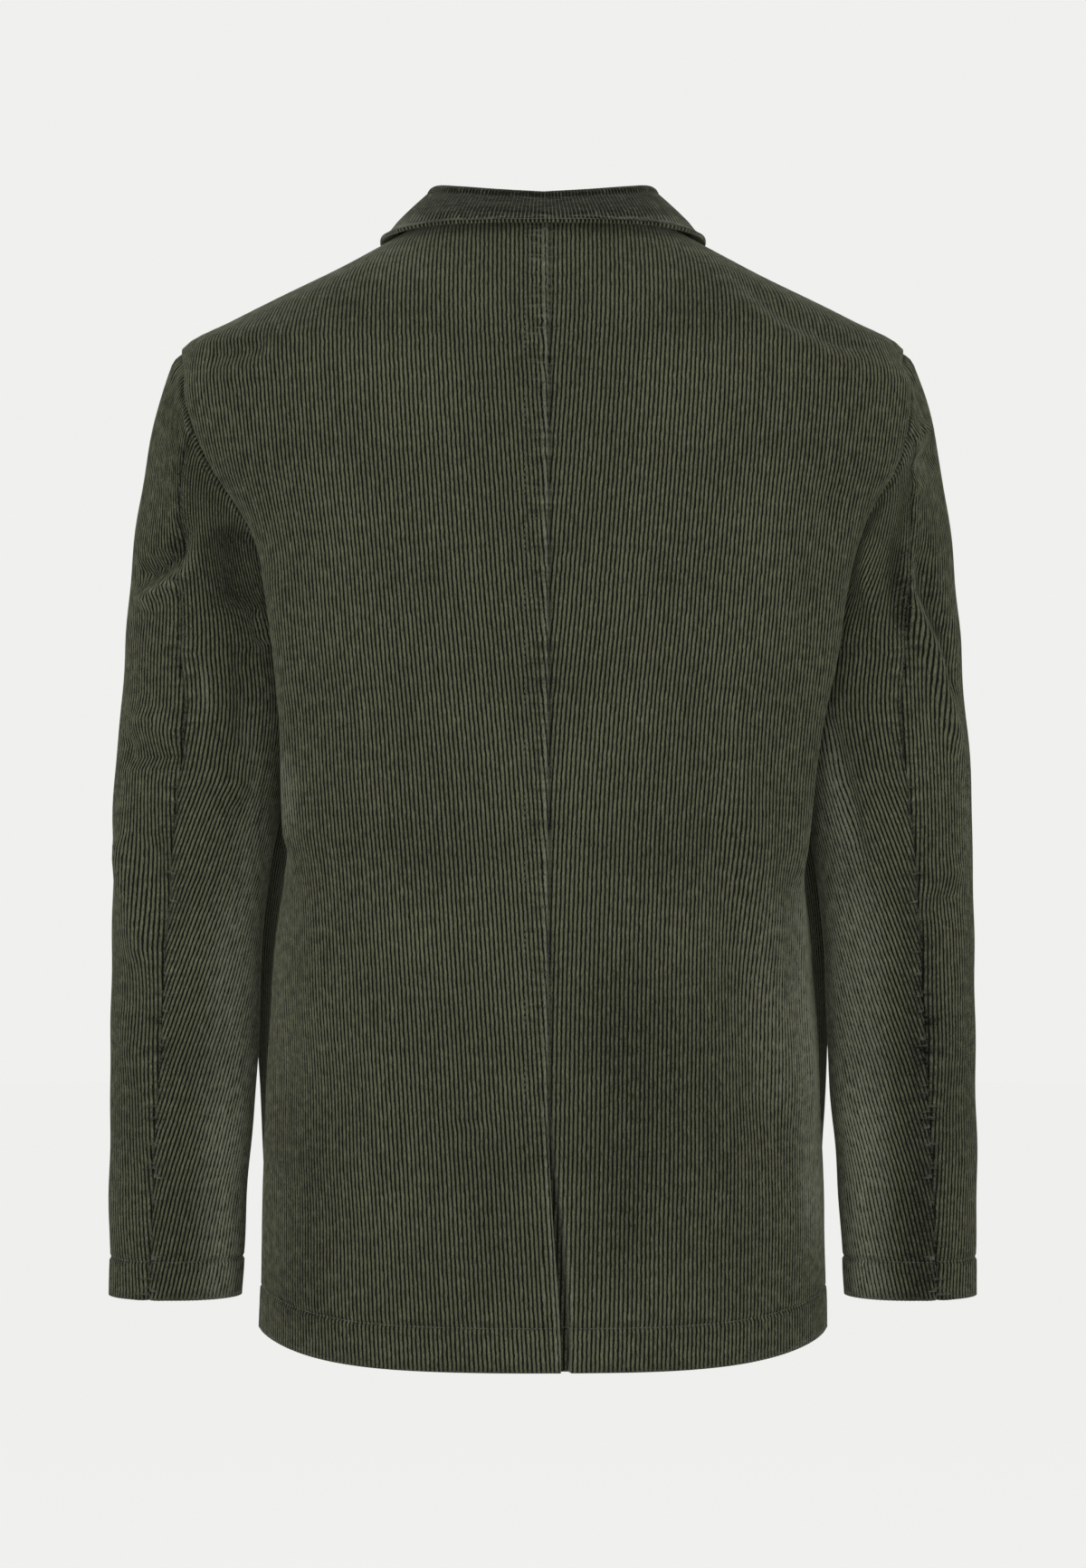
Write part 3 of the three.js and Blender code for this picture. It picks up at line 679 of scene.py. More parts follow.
def corduroy(name):
    """Wide-wale corduroy on the cloth map."""
    material, shader = new_finish(
        name, Roughness=0.95, Specular_IOR_Level=0.1, Sheen_Weight=0.22, Sheen_Roughness=0.45,
        Sheen_Tint=(0.72, 0.75, 0.58, 1),
    )
    uv = add_node(material, "ShaderNodeUVMap", uv_map="cloth").outputs[0]
    across = add_node(material, "ShaderNodeSeparateXYZ", {0: uv}).outputs[0]
    along = add_node(material, "ShaderNodeMapping", {"Vector": uv, "Scale": (1, 0.3, 1)}).outputs[0]
    beads = centred(material, noise_on(material, uv, BEAD, 2))
    streaks = centred(material, noise_on(material, along, STREAK, 3))
    clumps = centred(material, noise_on(material, uv, CLUMP, 3))
    patches = centred(material, noise_on(material, uv, PATCH, 2))
    # Painted light and shade, with some brushed pile, read from the cloth's attribute.
    nap_and_painted_light = add_node(material, "ShaderNodeAttribute", attribute_name="nap_and_painted_light").outputs["Fac"]

    shifted = reckon(material, "MULTIPLY_ADD", clumps, WANDER, across)
    phase = reckon(material, "DIVIDE", shifted, WALE)
    middle = reckon(material, "SUBTRACT", reckon(material, "FRACT", phase), 0.5)
    from_crest = reckon(material, "MULTIPLY", reckon(material, "ABSOLUTE", middle), 2.0)
    ragged = reckon(material, "MULTIPLY_ADD", streaks, STREAK_EDGE, from_crest)
    ragged = reckon(material, "MULTIPLY_ADD", beads, BEAD_EDGE, ragged)
    # Where painted light is laid on, the grooves close and the colour pales, as under a highlight.
    smooth = reckon(material, "MINIMUM", reckon(material, "MAXIMUM", nap_and_painted_light, 0.0), STROKED_SMOOTH)
    ragged = reckon(material, "MULTIPLY_ADD", smooth, -SMOOTH_CLOSES, ragged)
    groove = add_node(
        material, "ShaderNodeMapRange",
        {"Value": ragged, "From Min": GROOVE_FROM, "From Max": GROOVE_TO},
        interpolation_type="SMOOTHSTEP",
    ).outputs[0]
    tone = add_node(
        material, "ShaderNodeMix", {0: groove, 6: CREST, 7: GROOVE}, data_type="RGBA",
    ).outputs[2]
    near_seam = add_node(material, "ShaderNodeAttribute", attribute_name="pucker").outputs["Fac"]
    everywhere = reckon(
        material, "MULTIPLY_ADD", near_seam, 1 - PUCKER_EVERYWHERE, PUCKER_EVERYWHERE,
    )
    ripples = add_node(material, "ShaderNodeMapping", {"Vector": uv, "Scale": (0.25, 1, 1)}).outputs[0]
    wrinkles = centred(material, noise_on(material, ripples, WRINKLE, 1))
    gathers = reckon(material, "MULTIPLY", wrinkles, everywhere)

    # The value varies at random with the pile's beads, streaks, clumps and patches. The gathers add
    # painted light and shade of the puckers on top of their bump, and the cloth's attribute adds its
    # painted light and shade.
    light = LIGHT
    for unevenness, share in (
        (beads, 1.3), (gathers, 1.2), (streaks, 0.8), (clumps, 0.6), (patches, 0.5), (nap_and_painted_light, 1.0),
    ):
        light = reckon(material, "MULTIPLY_ADD", unevenness, share, light)
    paler = reckon(material, "MULTIPLY_ADD", smooth, -SMOOTH_PALES, 1.0)
    shaded = add_node(
        material, "ShaderNodeHueSaturation", {"Color": tone, "Value": light, "Saturation": paler},
    ).outputs[0]
    material.node_tree.links.new(shaded, shader.inputs["Base Color"])

    wave = add_node(
        material, "ShaderNodeBump", {"Height": gathers, "Strength": 1.0, "Distance": WRINKLE_DEPTH * MM},
    ).outputs[0]
    pile = add_node(
        material, "ShaderNodeBump",
        {"Height": beads, "Strength": 0.7, "Distance": BEAD_DEPTH * MM, "Normal": wave},
    ).outputs[0]
    material.node_tree.links.new(pile, shader.inputs["Normal"])
    return material


corduroy_finish = corduroy("corduroy")

# %% [markdown]
# ## Seams
# At a seam both pieces dip, because the stitches pull them in, and the allowance behind them
# puffs them up again a few millimetres away. One function of the distance to the seam gives
# that form. The pressed and topstitched centre seam has a form of its own, further on.

# %% The form of the cloth beside a seam
SEAM_DIP = 1.1
SEAM_HALF_WIDTH = 1.7
ALLOWANCE = 6.5  # distance of the allowance's swell from the seam
ALLOWANCE_RISE = 0.5
ALLOWANCE_WIDTH = 4
# painted shade in the seams and along rows of stitches: how dark it is and how wide
SEAM_DARKNESS = 0.5
SEAM_DARK_WIDTH = 1.3
HEM_DARKNESS = 0.25
HEM_DARK_WIDTH = 2
HEM_PLUMP = 0.6  # how far a turned-up hem's doubled cloth stands out
PUCKER_REACH = 14  # how far from a seam the cloth still puckers


def seam_form(distance):
    swell = ALLOWANCE_RISE * bell(distance - ALLOWANCE, ALLOWANCE_WIDTH)
    return swell - SEAM_DIP * bell(distance, SEAM_HALF_WIDTH)


def seam_shade(*distances):
    """Painted shade where the cloth dives into a seam."""
    return sum(-SEAM_DARKNESS * bell(distance, SEAM_DARK_WIDTH) for distance in distances)


def pucker_near(*distances):
    """How much the cloth puckers, from 1 beside the nearest seam to 0 away from it."""
    nearest = np.minimum.reduce(distances)
    return 1 - smoothstep(nearest, 0, PUCKER_REACH)


def stitch_dip(distance, depth=0.9, width=1.4):
    """The shallow groove that a row of stitches presses into the cloth."""
    return -depth * bell(distance, width)


def turned_hem(height, stitch):
    """A turned-up hem: the row of stitches, and the doubled cloth below it."""
    doubled = 1 - smoothstep(height, stitch - 3, stitch + 1)
    return stitch_dip(height - stitch) + HEM_PLUMP * doubled


def stitch_shade(distance):
    """Painted shade along a row of stitches, in the groove that they press in."""
    return -HEM_DARKNESS * bell(distance, HEM_DARK_WIDTH)


# %% [markdown]
# ## Back and front panels
# A panel is laid row by row from its centre edge round to the side seam, the armhole or the
# shoulder seam. The rows are closer where the armhole turns and beside the hem's stitching.

# %% Rows of a panel
ROW_STEP = 8.6
ARMHOLE_ROWS = 27
SHOULDER_STEP = 3.4  # the shoulder is nearly level, so its rows lie closer in height
HEM_STITCH = 27  # the hem's row of stitches above its edge
HEM_CALM = 6  # a flat-stitched hem puckers as a seam does this much further away
VENT_TOP = -561
VENT_LAP = 24
VENT_DEPTH = 11
LEFT_VENT_EDGE = -11
MIDDLE_SPARE = 40  # how far past the middle a row is measured, so that laps are on it
STRAIGHT = np.array([(HEM, 0), (NECK_TOP, 0)], float)  # wales that run into no seam


def panel_heights(step):
    """Heights of a panel's rows, from the hem up to the neck."""
    turns = np.radians(np.linspace(-90, 90, ARMHOLE_ROWS))
    return np.unique(np.round(np.concatenate([
        np.arange(HEM, UNDERARM - 3, step),
        HEM + HEM_STITCH + np.array([-2.2, 0, 2.2]),
        ARMHOLE_MIDDLE + ARMHOLE_HALF * np.sin(turns),
        np.arange(SHOULDER_TIP + SHOULDER_STEP, NECK_TOP, SHOULDER_STEP),
        [NECK_TOP],
    ]), 2))


def lay_out_panel(side, face, start_x, zero_x, step, drift_table=STRAIGHT):
    """A panel's rows as a dict of arrays: angle, z, across, to_start and to_end in mm."""
    z = panel_heights(step)
    drift = smooth_rows(drift_table, z)[:, 1]
    first = angle_at_x(side, face, z, -MIDDLE_SPARE)
    last = angle_at_y(z, seam_y(z, face))
    t = np.linspace(0, 1, 141)
    angles = first[:, None] + (last - first)[:, None] * t
    lengths = lengths_along(body_surface(side, z[:, None], angles))

    def length_at(x):
        share = (angle_at_x(side, face, z, x) - first) / (last - first)
        return read_rows(share[:, None], np.broadcast_to(t, angles.shape), lengths)[:, 0]

    low, high = length_at(start_x(z)), lengths[:, -1]
    reach, across = wale_columns(low, high, length_at(zero_x), drift)
    angle = read_rows(reach, lengths, angles)
    return {
        "z": np.broadcast_to(z[:, None], angle.shape),
        "angle": angle,
        "across": across,
        "to_start": reach - low[:, None],
        "to_end": high[:, None] - reach,
    }


def raise_panel(side, rows, lift):
    """The outer points and directions of a laid-out panel, moved out by lift."""
    z = hem_height(rows["z"], rows["angle"])
    outs = body_out(side, z, rows["angle"])
    points = body_surface(side, z, rows["angle"])
    return points + outs * lift[..., None], outs


stitch_lines = {}


def contour(values, level, points, outs):
    """The line where values pass a level, read row by row, and the directions facing out there."""
    passed = (values[:, :-1] <= level) != (values[:, 1:] <= level)
    row = np.nonzero(passed.any(axis=1))[0]
    column = passed[row].argmax(axis=1)
    before, after = values[row, column], values[row, column + 1]
    share = ((level - before) / (after - before))[:, None]
    return points[row, column] * (1 - share) + points[row, column + 1] * share, outs[row, column]


def level_line(height, level, points, outs):
    """The same, read column by column: a line that runs round the garment."""
    height, points, outs = (np.swapaxes(values, 0, 1) for values in (height, points, outs))
    return contour(height, level, points, outs)


def cloth_map(rows):
    return np.stack([rows["across"], NECK_TOP - rows["z"]], axis=-1)


SLACK_RISE = 0.5
BODY_SLACK = 38  # size of its waves
SLEEVE_SLACK = 30


def slack(points, size):
    """Gentle unevenness of unpressed cloth, from waves that run across one another."""
    x, y, z = (points[..., k] / size for k in range(3))
    return SLACK_RISE * (
        np.sin(1.7 * x + 0.9 * z + 1.1 * np.sin(0.8 * z)) * np.sin(1.3 * z - 0.6 * x + 0.5 * y)
        + 0.6 * np.sin(2.9 * z + 1.9 * np.sin(1.1 * x) + y)
    )


# %% The back
# height, and how far the wales have run into the centre seam by there
BACK_DRIFT = {
    1: np.array([(-703, 44), (-560, 36), (-330, 21), (-215, 11), (-60, 1), (12, 0)], float),
    -1: np.array([(-703, 32), (-560, 29), (-450, 27), (-330, 22), (-215, 12), (-60, 1), (12, 0)], float),
}
CENTRE_ALLOWANCE = 15  # the pressed and topstitched strip beside the centre seam
ALLOWANCE_PLUMP = 0.7  # how far it stands out
CENTRE_DIP = {1: (2.8, 1.0), -1: (1.8, 1.3)}  # depth and half-width of the seam on each side
RIDGE = {"at": 2.3, "rise": 1.4, "width": 1.2}  # the left panel's rolled edge over the seam
RIDGE_HIGHLIGHT = {"at": 2.4, "rise": 0.5, "width": 1.1}  # a painted highlight on it
VENT_OPEN = -543  # where the edges start to part
VENT_GAP = 5  # the open gap between the vent's edges at the hem
VENT_FOLD = (2.5, 4.5)  # the pressed fold along the left edge ends between these distances
VENT_EDGE = (-1.6, 0.6)  # the right panel sinks under the left one between these


# heights over which, going down, the seam goes over into the vent, the left edge swings out,
# the gap widens and the right panel sinks
VENT_TURN, VENT_SWING, VENT_WIDEN, VENT_SINK = 26, 140, 80, 18
PRESSED_STITCH = 0.4  # depth of the stitching on the pressed strip
STRIP_SHADE = 0.3
FOLD_RISE = 0.5
# painted highlight on the vent's pressed fold
FOLD_HIGHLIGHT = 0.3
STRIP_PUCKER = 0.7  # how much the strip puckers, against a seam's edge
HEM_PUCKER = 0.7
RIGHT_PUCKER = 0.4


def vent_share(z):
    """How much of the vent there is: 0 in the seam above it and 1 below its top."""
    return smoothstep(VENT_TOP - z, 0, VENT_TURN)


def left_back_edge(z):
    return CENTRE_SEAM_X + (LEFT_VENT_EDGE - CENTRE_SEAM_X) * smoothstep(VENT_TOP - z, 0, VENT_SWING)


def right_back_edge(z):
    return -(CENTRE_SEAM_X + (VENT_LAP - CENTRE_SEAM_X) * vent_share(z))


def left_middle(z, x, across, to_start):
    """Lift, painted light and shade, and pucker of the left panel beside the centre seam and the vent.
    """
    sewn = 1 - vent_share(z)
    fold = (1 - sewn) * (1 - smoothstep(to_start, *VENT_FOLD))
    strip = ALLOWANCE_PLUMP * smoothstep(CENTRE_ALLOWANCE + 2 - to_start, 0, 3)
    strip += stitch_dip(to_start - CENTRE_ALLOWANCE, PRESSED_STITCH) + hump(to_start, **RIDGE)
    lift = wale_height(across) * (1 - fold) + FOLD_RISE * fold
    lift += sewn * strip - 1.2 * (1 - sewn) * bell(to_start, 0.9)
    # Painted highlights on the vent's fold and on the rolled ridge, and painted shade along the strip's
    # stitching.
    nap_and_painted_light = FOLD_HIGHLIGHT * fold + sewn * hump(to_start, **RIDGE_HIGHLIGHT)
    nap_and_painted_light += STRIP_SHADE * sewn * seam_shade(to_start - CENTRE_ALLOWANCE)
    pucker = STRIP_PUCKER * sewn * (1 - smoothstep(to_start, 8, CENTRE_ALLOWANCE + 1))
    return lift, nap_and_painted_light, pucker


def right_middle(z, x, across, to_start):
    """The same of the right panel, which lies under the left one in the vent."""
    sewn = 1 - vent_share(z)
    past = x - left_back_edge(z) + VENT_GAP * smoothstep(VENT_OPEN - z, 0, VENT_WIDEN)
    inside = smoothstep(VENT_OPEN - z, 0, VENT_SINK) * smoothstep(past, *VENT_EDGE)
    lift = wale_height(across) - VENT_DEPTH * inside
    # A painted highlight on the right panel's edge beside the vent's gap, and painted shadow in the gap
    # where the panel sinks.
    nap_and_painted_light = 0.25 * (1 - sewn) * bell(past + 3, 1.5) - 0.5 * inside
    return lift, nap_and_painted_light, RIGHT_PUCKER * sewn * pucker_near(to_start)


def back_panel(side, name, start_x, zero_x, middle_form):
    """One back panel, with the lines where it is stitched."""
    rows = lay_out_panel(side, 1, start_x, zero_x, ROW_STEP, BACK_DRIFT[side])
    points, _ = raise_panel(side, rows, np.zeros(rows["z"].shape))
    z, to_start, to_end = rows["z"], rows["to_start"], rows["to_end"]
    to_stitch = z - HEM - HEM_STITCH
    sewn = 1 - vent_share(z)
    dip, dip_width = CENTRE_DIP[side]
    lift, nap_and_painted_light, pucker = middle_form(z, points[..., 0], rows["across"], to_start)
    lift += strokes(CREASES, name, points, BODY_EDGE) + slack(points, BODY_SLACK)
    lift += seam_form(to_end) - dip * sewn * bell(to_start, dip_width)
    lift += turned_hem(z - HEM, HEM_STITCH)
    nap_and_painted_light += strokes(PILE_AND_PAINTED_LIGHT_STROKES, name, points, BODY_EDGE)
    nap_and_painted_light += seam_shade(to_end) + sewn * seam_shade(to_start) + stitch_shade(to_stitch)
    pucker = np.maximum.reduce([
        pucker, pucker_near(to_end), HEM_PUCKER * pucker_near(np.abs(to_stitch) + HEM_CALM),
    ])
    points, outs = raise_panel(side, rows, lift)
    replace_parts(lay_cloth(name, points, outs, cloth_map(rows), pucker, nap_and_painted_light), name)
    stitch_lines[name] = [level_line(z, HEM + HEM_STITCH, points, outs)]
    if side > 0:
        above = z[:, 0] > VENT_TOP + 6
        strip_edge = contour(to_start[above], CENTRE_ALLOWANCE, points[above], outs[above])
        stitch_lines[name].append(strip_edge)


back_panel(1, "back_left", left_back_edge, CENTRE_SEAM_X, left_middle)
back_panel(-1, "back_right", right_back_edge, -CENTRE_SEAM_X, right_middle)

# %% The fronts
LAP = 18
LAP_GAP = 0.9
BREAK = -330
ROLL_TOP = 72
LAPEL_TOP = 4
HEM_CORNER = 45
FRONT_STEP = 16.0
EDGE_STITCH = 6  # the row of stitches beside the edges of fronts and lapels
EDGE_STITCH_DEPTH = 0.6
UNDERLAP = (-46, -24)  # between these the right front goes under the left one


def front_edge_x(z):
    """The front's edge: past the middle below the break, the lapel's roll line above it."""
    roll = np.interp(z, [BREAK, LAPEL_TOP], [-LAP, ROLL_TOP])
    below_corner = np.clip((HEM + HEM_CORNER - z) / HEM_CORNER, 0, 1)
    return roll + HEM_CORNER * (1 - np.sqrt(1 - below_corner**2))


def edge_dip(distance):
    """The groove of the stitches beside an edge."""
    return stitch_dip(distance - EDGE_STITCH, EDGE_STITCH_DEPTH)


def front_panel(side, name):
    """One front panel, with the lines where it is stitched."""
    rows = lay_out_panel(side, -1, front_edge_x, 0, FRONT_STEP)
    points, _ = raise_panel(side, rows, np.zeros(rows["z"].shape))
    lift = wale_height(rows["across"])
    lift += seam_form(rows["to_end"])
    lift += strokes(CREASES, name, points, BODY_EDGE)
    lift += slack(points, BODY_SLACK)
    lift += turned_hem(rows["z"] - HEM, HEM_STITCH) + edge_dip(rows["to_start"])
    if side < 0:
        lift -= (CLOTH + LAP_GAP) * smoothstep(points[..., 0], *UNDERLAP)
    nap_and_painted_light = strokes(PILE_AND_PAINTED_LIGHT_STROKES, name, points, BODY_EDGE) + seam_shade(rows["to_end"])
    pucker = pucker_near(rows["to_end"], np.abs(rows["z"] - HEM - HEM_STITCH) + HEM_CALM)
    points, outs = raise_panel(side, rows, lift)
    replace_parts(lay_cloth(name, points, outs, cloth_map(rows), pucker, nap_and_painted_light), name)
    below = rows["z"][:, 0] < BREAK
    stitch_lines[name] = [
        level_line(rows["z"], HEM + HEM_STITCH, points, outs),
        contour(rows["to_start"][below], EDGE_STITCH, points[below], outs[below]),
    ]


front_panel(1, "front_left")
front_panel(-1, "front_right")

# %% [markdown]
# ## Lapels
# A lapel is the top of the front turned back on itself. It lies on the chest from the roll line
# outwards, so it is made from the chest's own points, moved out by the cloth under it.

# %% Lapels
LAPEL_WIDTH = 70
LAPEL_START_X = 2
GORGE_DROP = 44
LAPEL_LIFT = CLOTH + LAP_GAP
LAPEL_SPRING = 3  # how much further its edge stands off the chest
LAPEL_TIP = 3  # its width where it starts at the break
LAPEL_ROWS = 48


def lapel(side, name):
    """One lapel, from the break up to the collar, with the line of its stitches."""
    lowest = BREAK + (LAPEL_TOP - BREAK) * (LAPEL_START_X + LAP) / (ROLL_TOP + LAP)
    t = np.linspace(0, 1, LAPEL_ROWS)[:, None]
    width = LAPEL_WIDTH * np.sin(t * math.pi / 2) ** 1.1 + LAPEL_TIP
    columns = np.arange(0, LAPEL_WIDTH + LAPEL_TIP + COLUMN_STEP, COLUMN_STEP)
    reach = np.minimum(columns[None, :], width)
    across = reach / width
    roll_z = lowest + (LAPEL_TOP - lowest) * t
    z = roll_z - GORGE_DROP * np.sqrt(across) * t
    x = front_edge_x(roll_z) + reach
    angle = angle_at_x(side, -1, z, x)
    outs = body_out(side, z, angle)
    lift = LAPEL_LIFT + LAPEL_SPRING * across + wale_height(reach)
    lift = lift - 0.9 * bell(width - reach, 1.6) - 0.6 * bell(reach, 3)
    lift = lift + edge_dip(width - reach)
    points = body_surface(side, z, angle) + outs * lift[..., None]
    on_cloth = np.stack(np.broadcast_arrays(reach, -z), axis=-1)
    to_edge = np.broadcast_to(width - reach, z.shape)
    pucker = 0.3 * pucker_near(to_edge)
    # a painted highlight along the lapel's rolled edge
    nap_and_painted_light = 0.25 * bell(to_edge - 3, 2)
    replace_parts(lay_cloth(name, points, outs, on_cloth, pucker, nap_and_painted_light), name)
    stitch_lines[name] = [contour(-to_edge, -EDGE_STITCH, points, outs)]


lapel(1, "lapel_left")
lapel(-1, "lapel_right")

# %% [markdown]
# ## Sleeves
# Each sleeve is a tube of rings: from the armhole down over the sleeve head and on to the cuff.
# The top sleeve covers the outside and the under sleeve the inside, and the back seam between
# them shows in the picture. The under sleeve's wales run at a slant, so they meet the seam.

# %% Rings of a sleeve
# z, outer and inner distance from the middle, depth of the ring's middle, its radius, seam turn
SLEEVE = np.array([
    (-262, 268, 165, 3, 53, 13),
    (-300, 271, 162, 3, 52, 9),
    (-350, 275, 167, 3, 50, 10),
    (-394, 276, 175, 1, 48, 11),
    (-447, 277.5, 181, -5, 46, 12),
    (-521, 279.5, 184.5, -14, 45, 14),
    (-600, 281, 191.5, -24, 41, 17),
    (-676, 281.5, 197, -32, 35, 20),
], float)
CAP_ROWS = 8
TUBE_ROWS = 14
CAP_END = SLEEVE[0, 0]
CUFF = SLEEVE[-1, 0]
CUFF_STITCH = 25
SLEEVE_TUCK = (-0.7, 0, -0.4)  # from the armhole's edge to the sleeve's: inwards and down
ARMHOLE_SINK = 1.5  # the sleeve's edge lies this far below the body's cloth
TIP_SINK = 0.25  # and at the shoulder's tip only by this share of it
TIP_SPREAD = 32  # degrees
ARMHOLE_TURN = 3.5  # where the sleeve has risen from its sunk edge
SET_OFF = (0.34, -0.3)  # how the sleeve's head sets off from the armhole, outwards and up
COME_IN = (0.05, -1)  # and how it comes into the tube
# where the sleeve's front bulges out of the armhole, in degrees, and how much further it leans
BULGE_TURN = 168
BULGE_SPREAD = 26
BULGE_LEAN = 1.1
BULGE_RISE = 0.3
HEAD_TURN = 15  # degrees of the back seam at the armhole
FRONT_TURN = {"top": 210, "under": -150}  # the front seam, reached over the top or underneath
CUFF_CALM = 5  # as HEM_CALM
# small waves that the gathered sleeve head throws beside the armhole
EASE_AT, EASE_WIDTH, EASE_RISE, EASE_SHINE = 7, 6, 0.7, 0.15


def armhole_point(side, degrees):
    """A point of the armhole: 90 degrees is the shoulder tip, 0 the back, -90 the underarm."""
    turn = np.radians(degrees)
    z = ARMHOLE_MIDDLE + ARMHOLE_HALF * np.sin(turn)
    reach = np.where(np.cos(turn) > 0, ARMHOLE_REACH[1], -ARMHOLE_REACH[-1])
    return body_surface(side, z, angle_at_y(z, SIDE_SEAM_Y + reach * np.cos(turn)))


def armhole_out(side, degrees):
    """The direction that faces out of the body at a point of the armhole."""
    edge = armhole_point(side, degrees)
    return body_out(side, edge[..., 2], angle_at_y(edge[..., 2], edge[..., 1]))


def ring_point(side, z, degrees):
    _, outer, inner, middle, radius, _ = np.moveaxis(smooth_rows(SLEEVE, z), -1, 0)
    turn = np.radians(degrees)
    x = (outer + inner) / 2 + (outer - inner) / 2 * np.sin(turn)
    return np.stack(np.broadcast_arrays(side * x, middle + radius * np.cos(turn), z), axis=-1)


def sleeve_surface(side, row, degrees):
    """Points of a sleeve at rows 0 to 8 of its head and 8 to 22 of its tube."""
    row, degrees = np.broadcast_arrays(row, degrees)
    z = CAP_END + (CUFF - CAP_END) * np.clip((row - CAP_ROWS) / TUBE_ROWS, 0, 1)
    tube = ring_point(side, z, degrees)
    outwards = np.array([side, 1, 1])
    start = armhole_point(side, degrees) + SLEEVE_TUCK * outwards
    end = ring_point(side, np.full(z.shape, CAP_END), degrees)
    span = np.linalg.norm(end - start, axis=-1, keepdims=True)
    t = np.clip(row / CAP_ROWS, 0, 1)[..., None]
    bulge = bell(np.mod(degrees, 360) - BULGE_TURN, BULGE_SPREAD)
    lean = SET_OFF[0] + BULGE_LEAN * bulge
    rise = SET_OFF[1] + BULGE_RISE * bulge
    leave = span * np.stack([lean, np.zeros_like(lean), rise], axis=-1) * outwards
    arrive = span * (COME_IN[0], 0, COME_IN[1]) * outwards
    return np.where(row[..., None] >= CAP_ROWS, tube, hermite(start, leave, end, arrive, t))


# %% Top and under sleeves
HEAD_LINES = 29  # lines of the mesh round the sleeve's head
TUBE_LINES = 52
CREASES_FROM = (0.4, 1.6)  # rows between which the creases come up, below the armhole
SLACK_FROM = (0, 2)
SLEEVE_ROWS = np.unique(np.concatenate([
    np.linspace(0, CAP_ROWS, HEAD_LINES),
    [0.08, 0.16],  # where the sewn edge turns up out of the armhole
    np.linspace(CAP_ROWS, CAP_ROWS + TUBE_ROWS, TUBE_LINES),
    CAP_ROWS + TUBE_ROWS * (1 + (CUFF_STITCH + np.array([-2, 0, 2])) / (CUFF - CAP_END)),
]))
# height, and how far the under sleeve's wales have run into its back seam by there
UNDER_DRIFT = np.array([
    (-676, 92), (-600, 78), (-520, 58), (-400, 20), (-340, 4), (-280, 0), (0, 0),
], float)


def lay_out_sleeve(side, which):
    """A sleeve panel's rows as a dict of arrays, which are in mm but for the rows and turns."""
    row = SLEEVE_ROWS
    middle_z = sleeve_surface(side, row, 0.0)[:, 2]
    seam_turn = smooth_rows(SLEEVE, np.minimum(middle_z, CAP_END))[:, 5]
    back_turn = HEAD_TURN + (seam_turn - HEAD_TURN) * np.clip(row / CAP_ROWS, 0, 1)
    t = np.linspace(0, 1, 121)
    turns = back_turn[:, None] + (FRONT_TURN[which] - back_turn)[:, None] * t
    lengths = lengths_along(sleeve_surface(side, row[:, None], turns))
    zero, drift = np.zeros_like(middle_z), np.zeros_like(middle_z)
    if which == "top":
        share = (90 - back_turn) / (FRONT_TURN[which] - back_turn)
        zero = read_rows(share[:, None], np.broadcast_to(t, turns.shape), lengths)[:, 0]
    else:
        drift = np.interp(middle_z, UNDER_DRIFT[:, 0], UNDER_DRIFT[:, 1])
    reach, across = wale_columns(np.zeros_like(zero), lengths[:, -1], zero, drift)
    down = lengths_along(sleeve_surface(side, row, back_turn))
    return {
        "row": np.broadcast_to(row[:, None], reach.shape),
        "turn": read_rows(reach, lengths, turns),
        "across": across,
        "to_back": reach,
        "to_front": lengths[:, -1:] - reach,
        "to_armhole": np.broadcast_to(down[:, None], reach.shape),
    }


def sleeve_out(side, row, turn):
    """The direction that faces out of a sleeve."""
    along = sleeve_surface(side, row, turn + 1) - sleeve_surface(side, row, turn - 1)
    fall = sleeve_surface(side, row + 0.05, turn) - sleeve_surface(side, row - 0.05, turn)
    return unit(np.cross(along, fall)) * side


def sink_at_armhole(side, turn):
    """How the sleeve's sewn edge lies under the body's cloth."""
    share = 1 - (1 - TIP_SINK) * bell(turn - 90, TIP_SPREAD)
    return armhole_out(side, turn) * ARMHOLE_SINK * share[..., None]


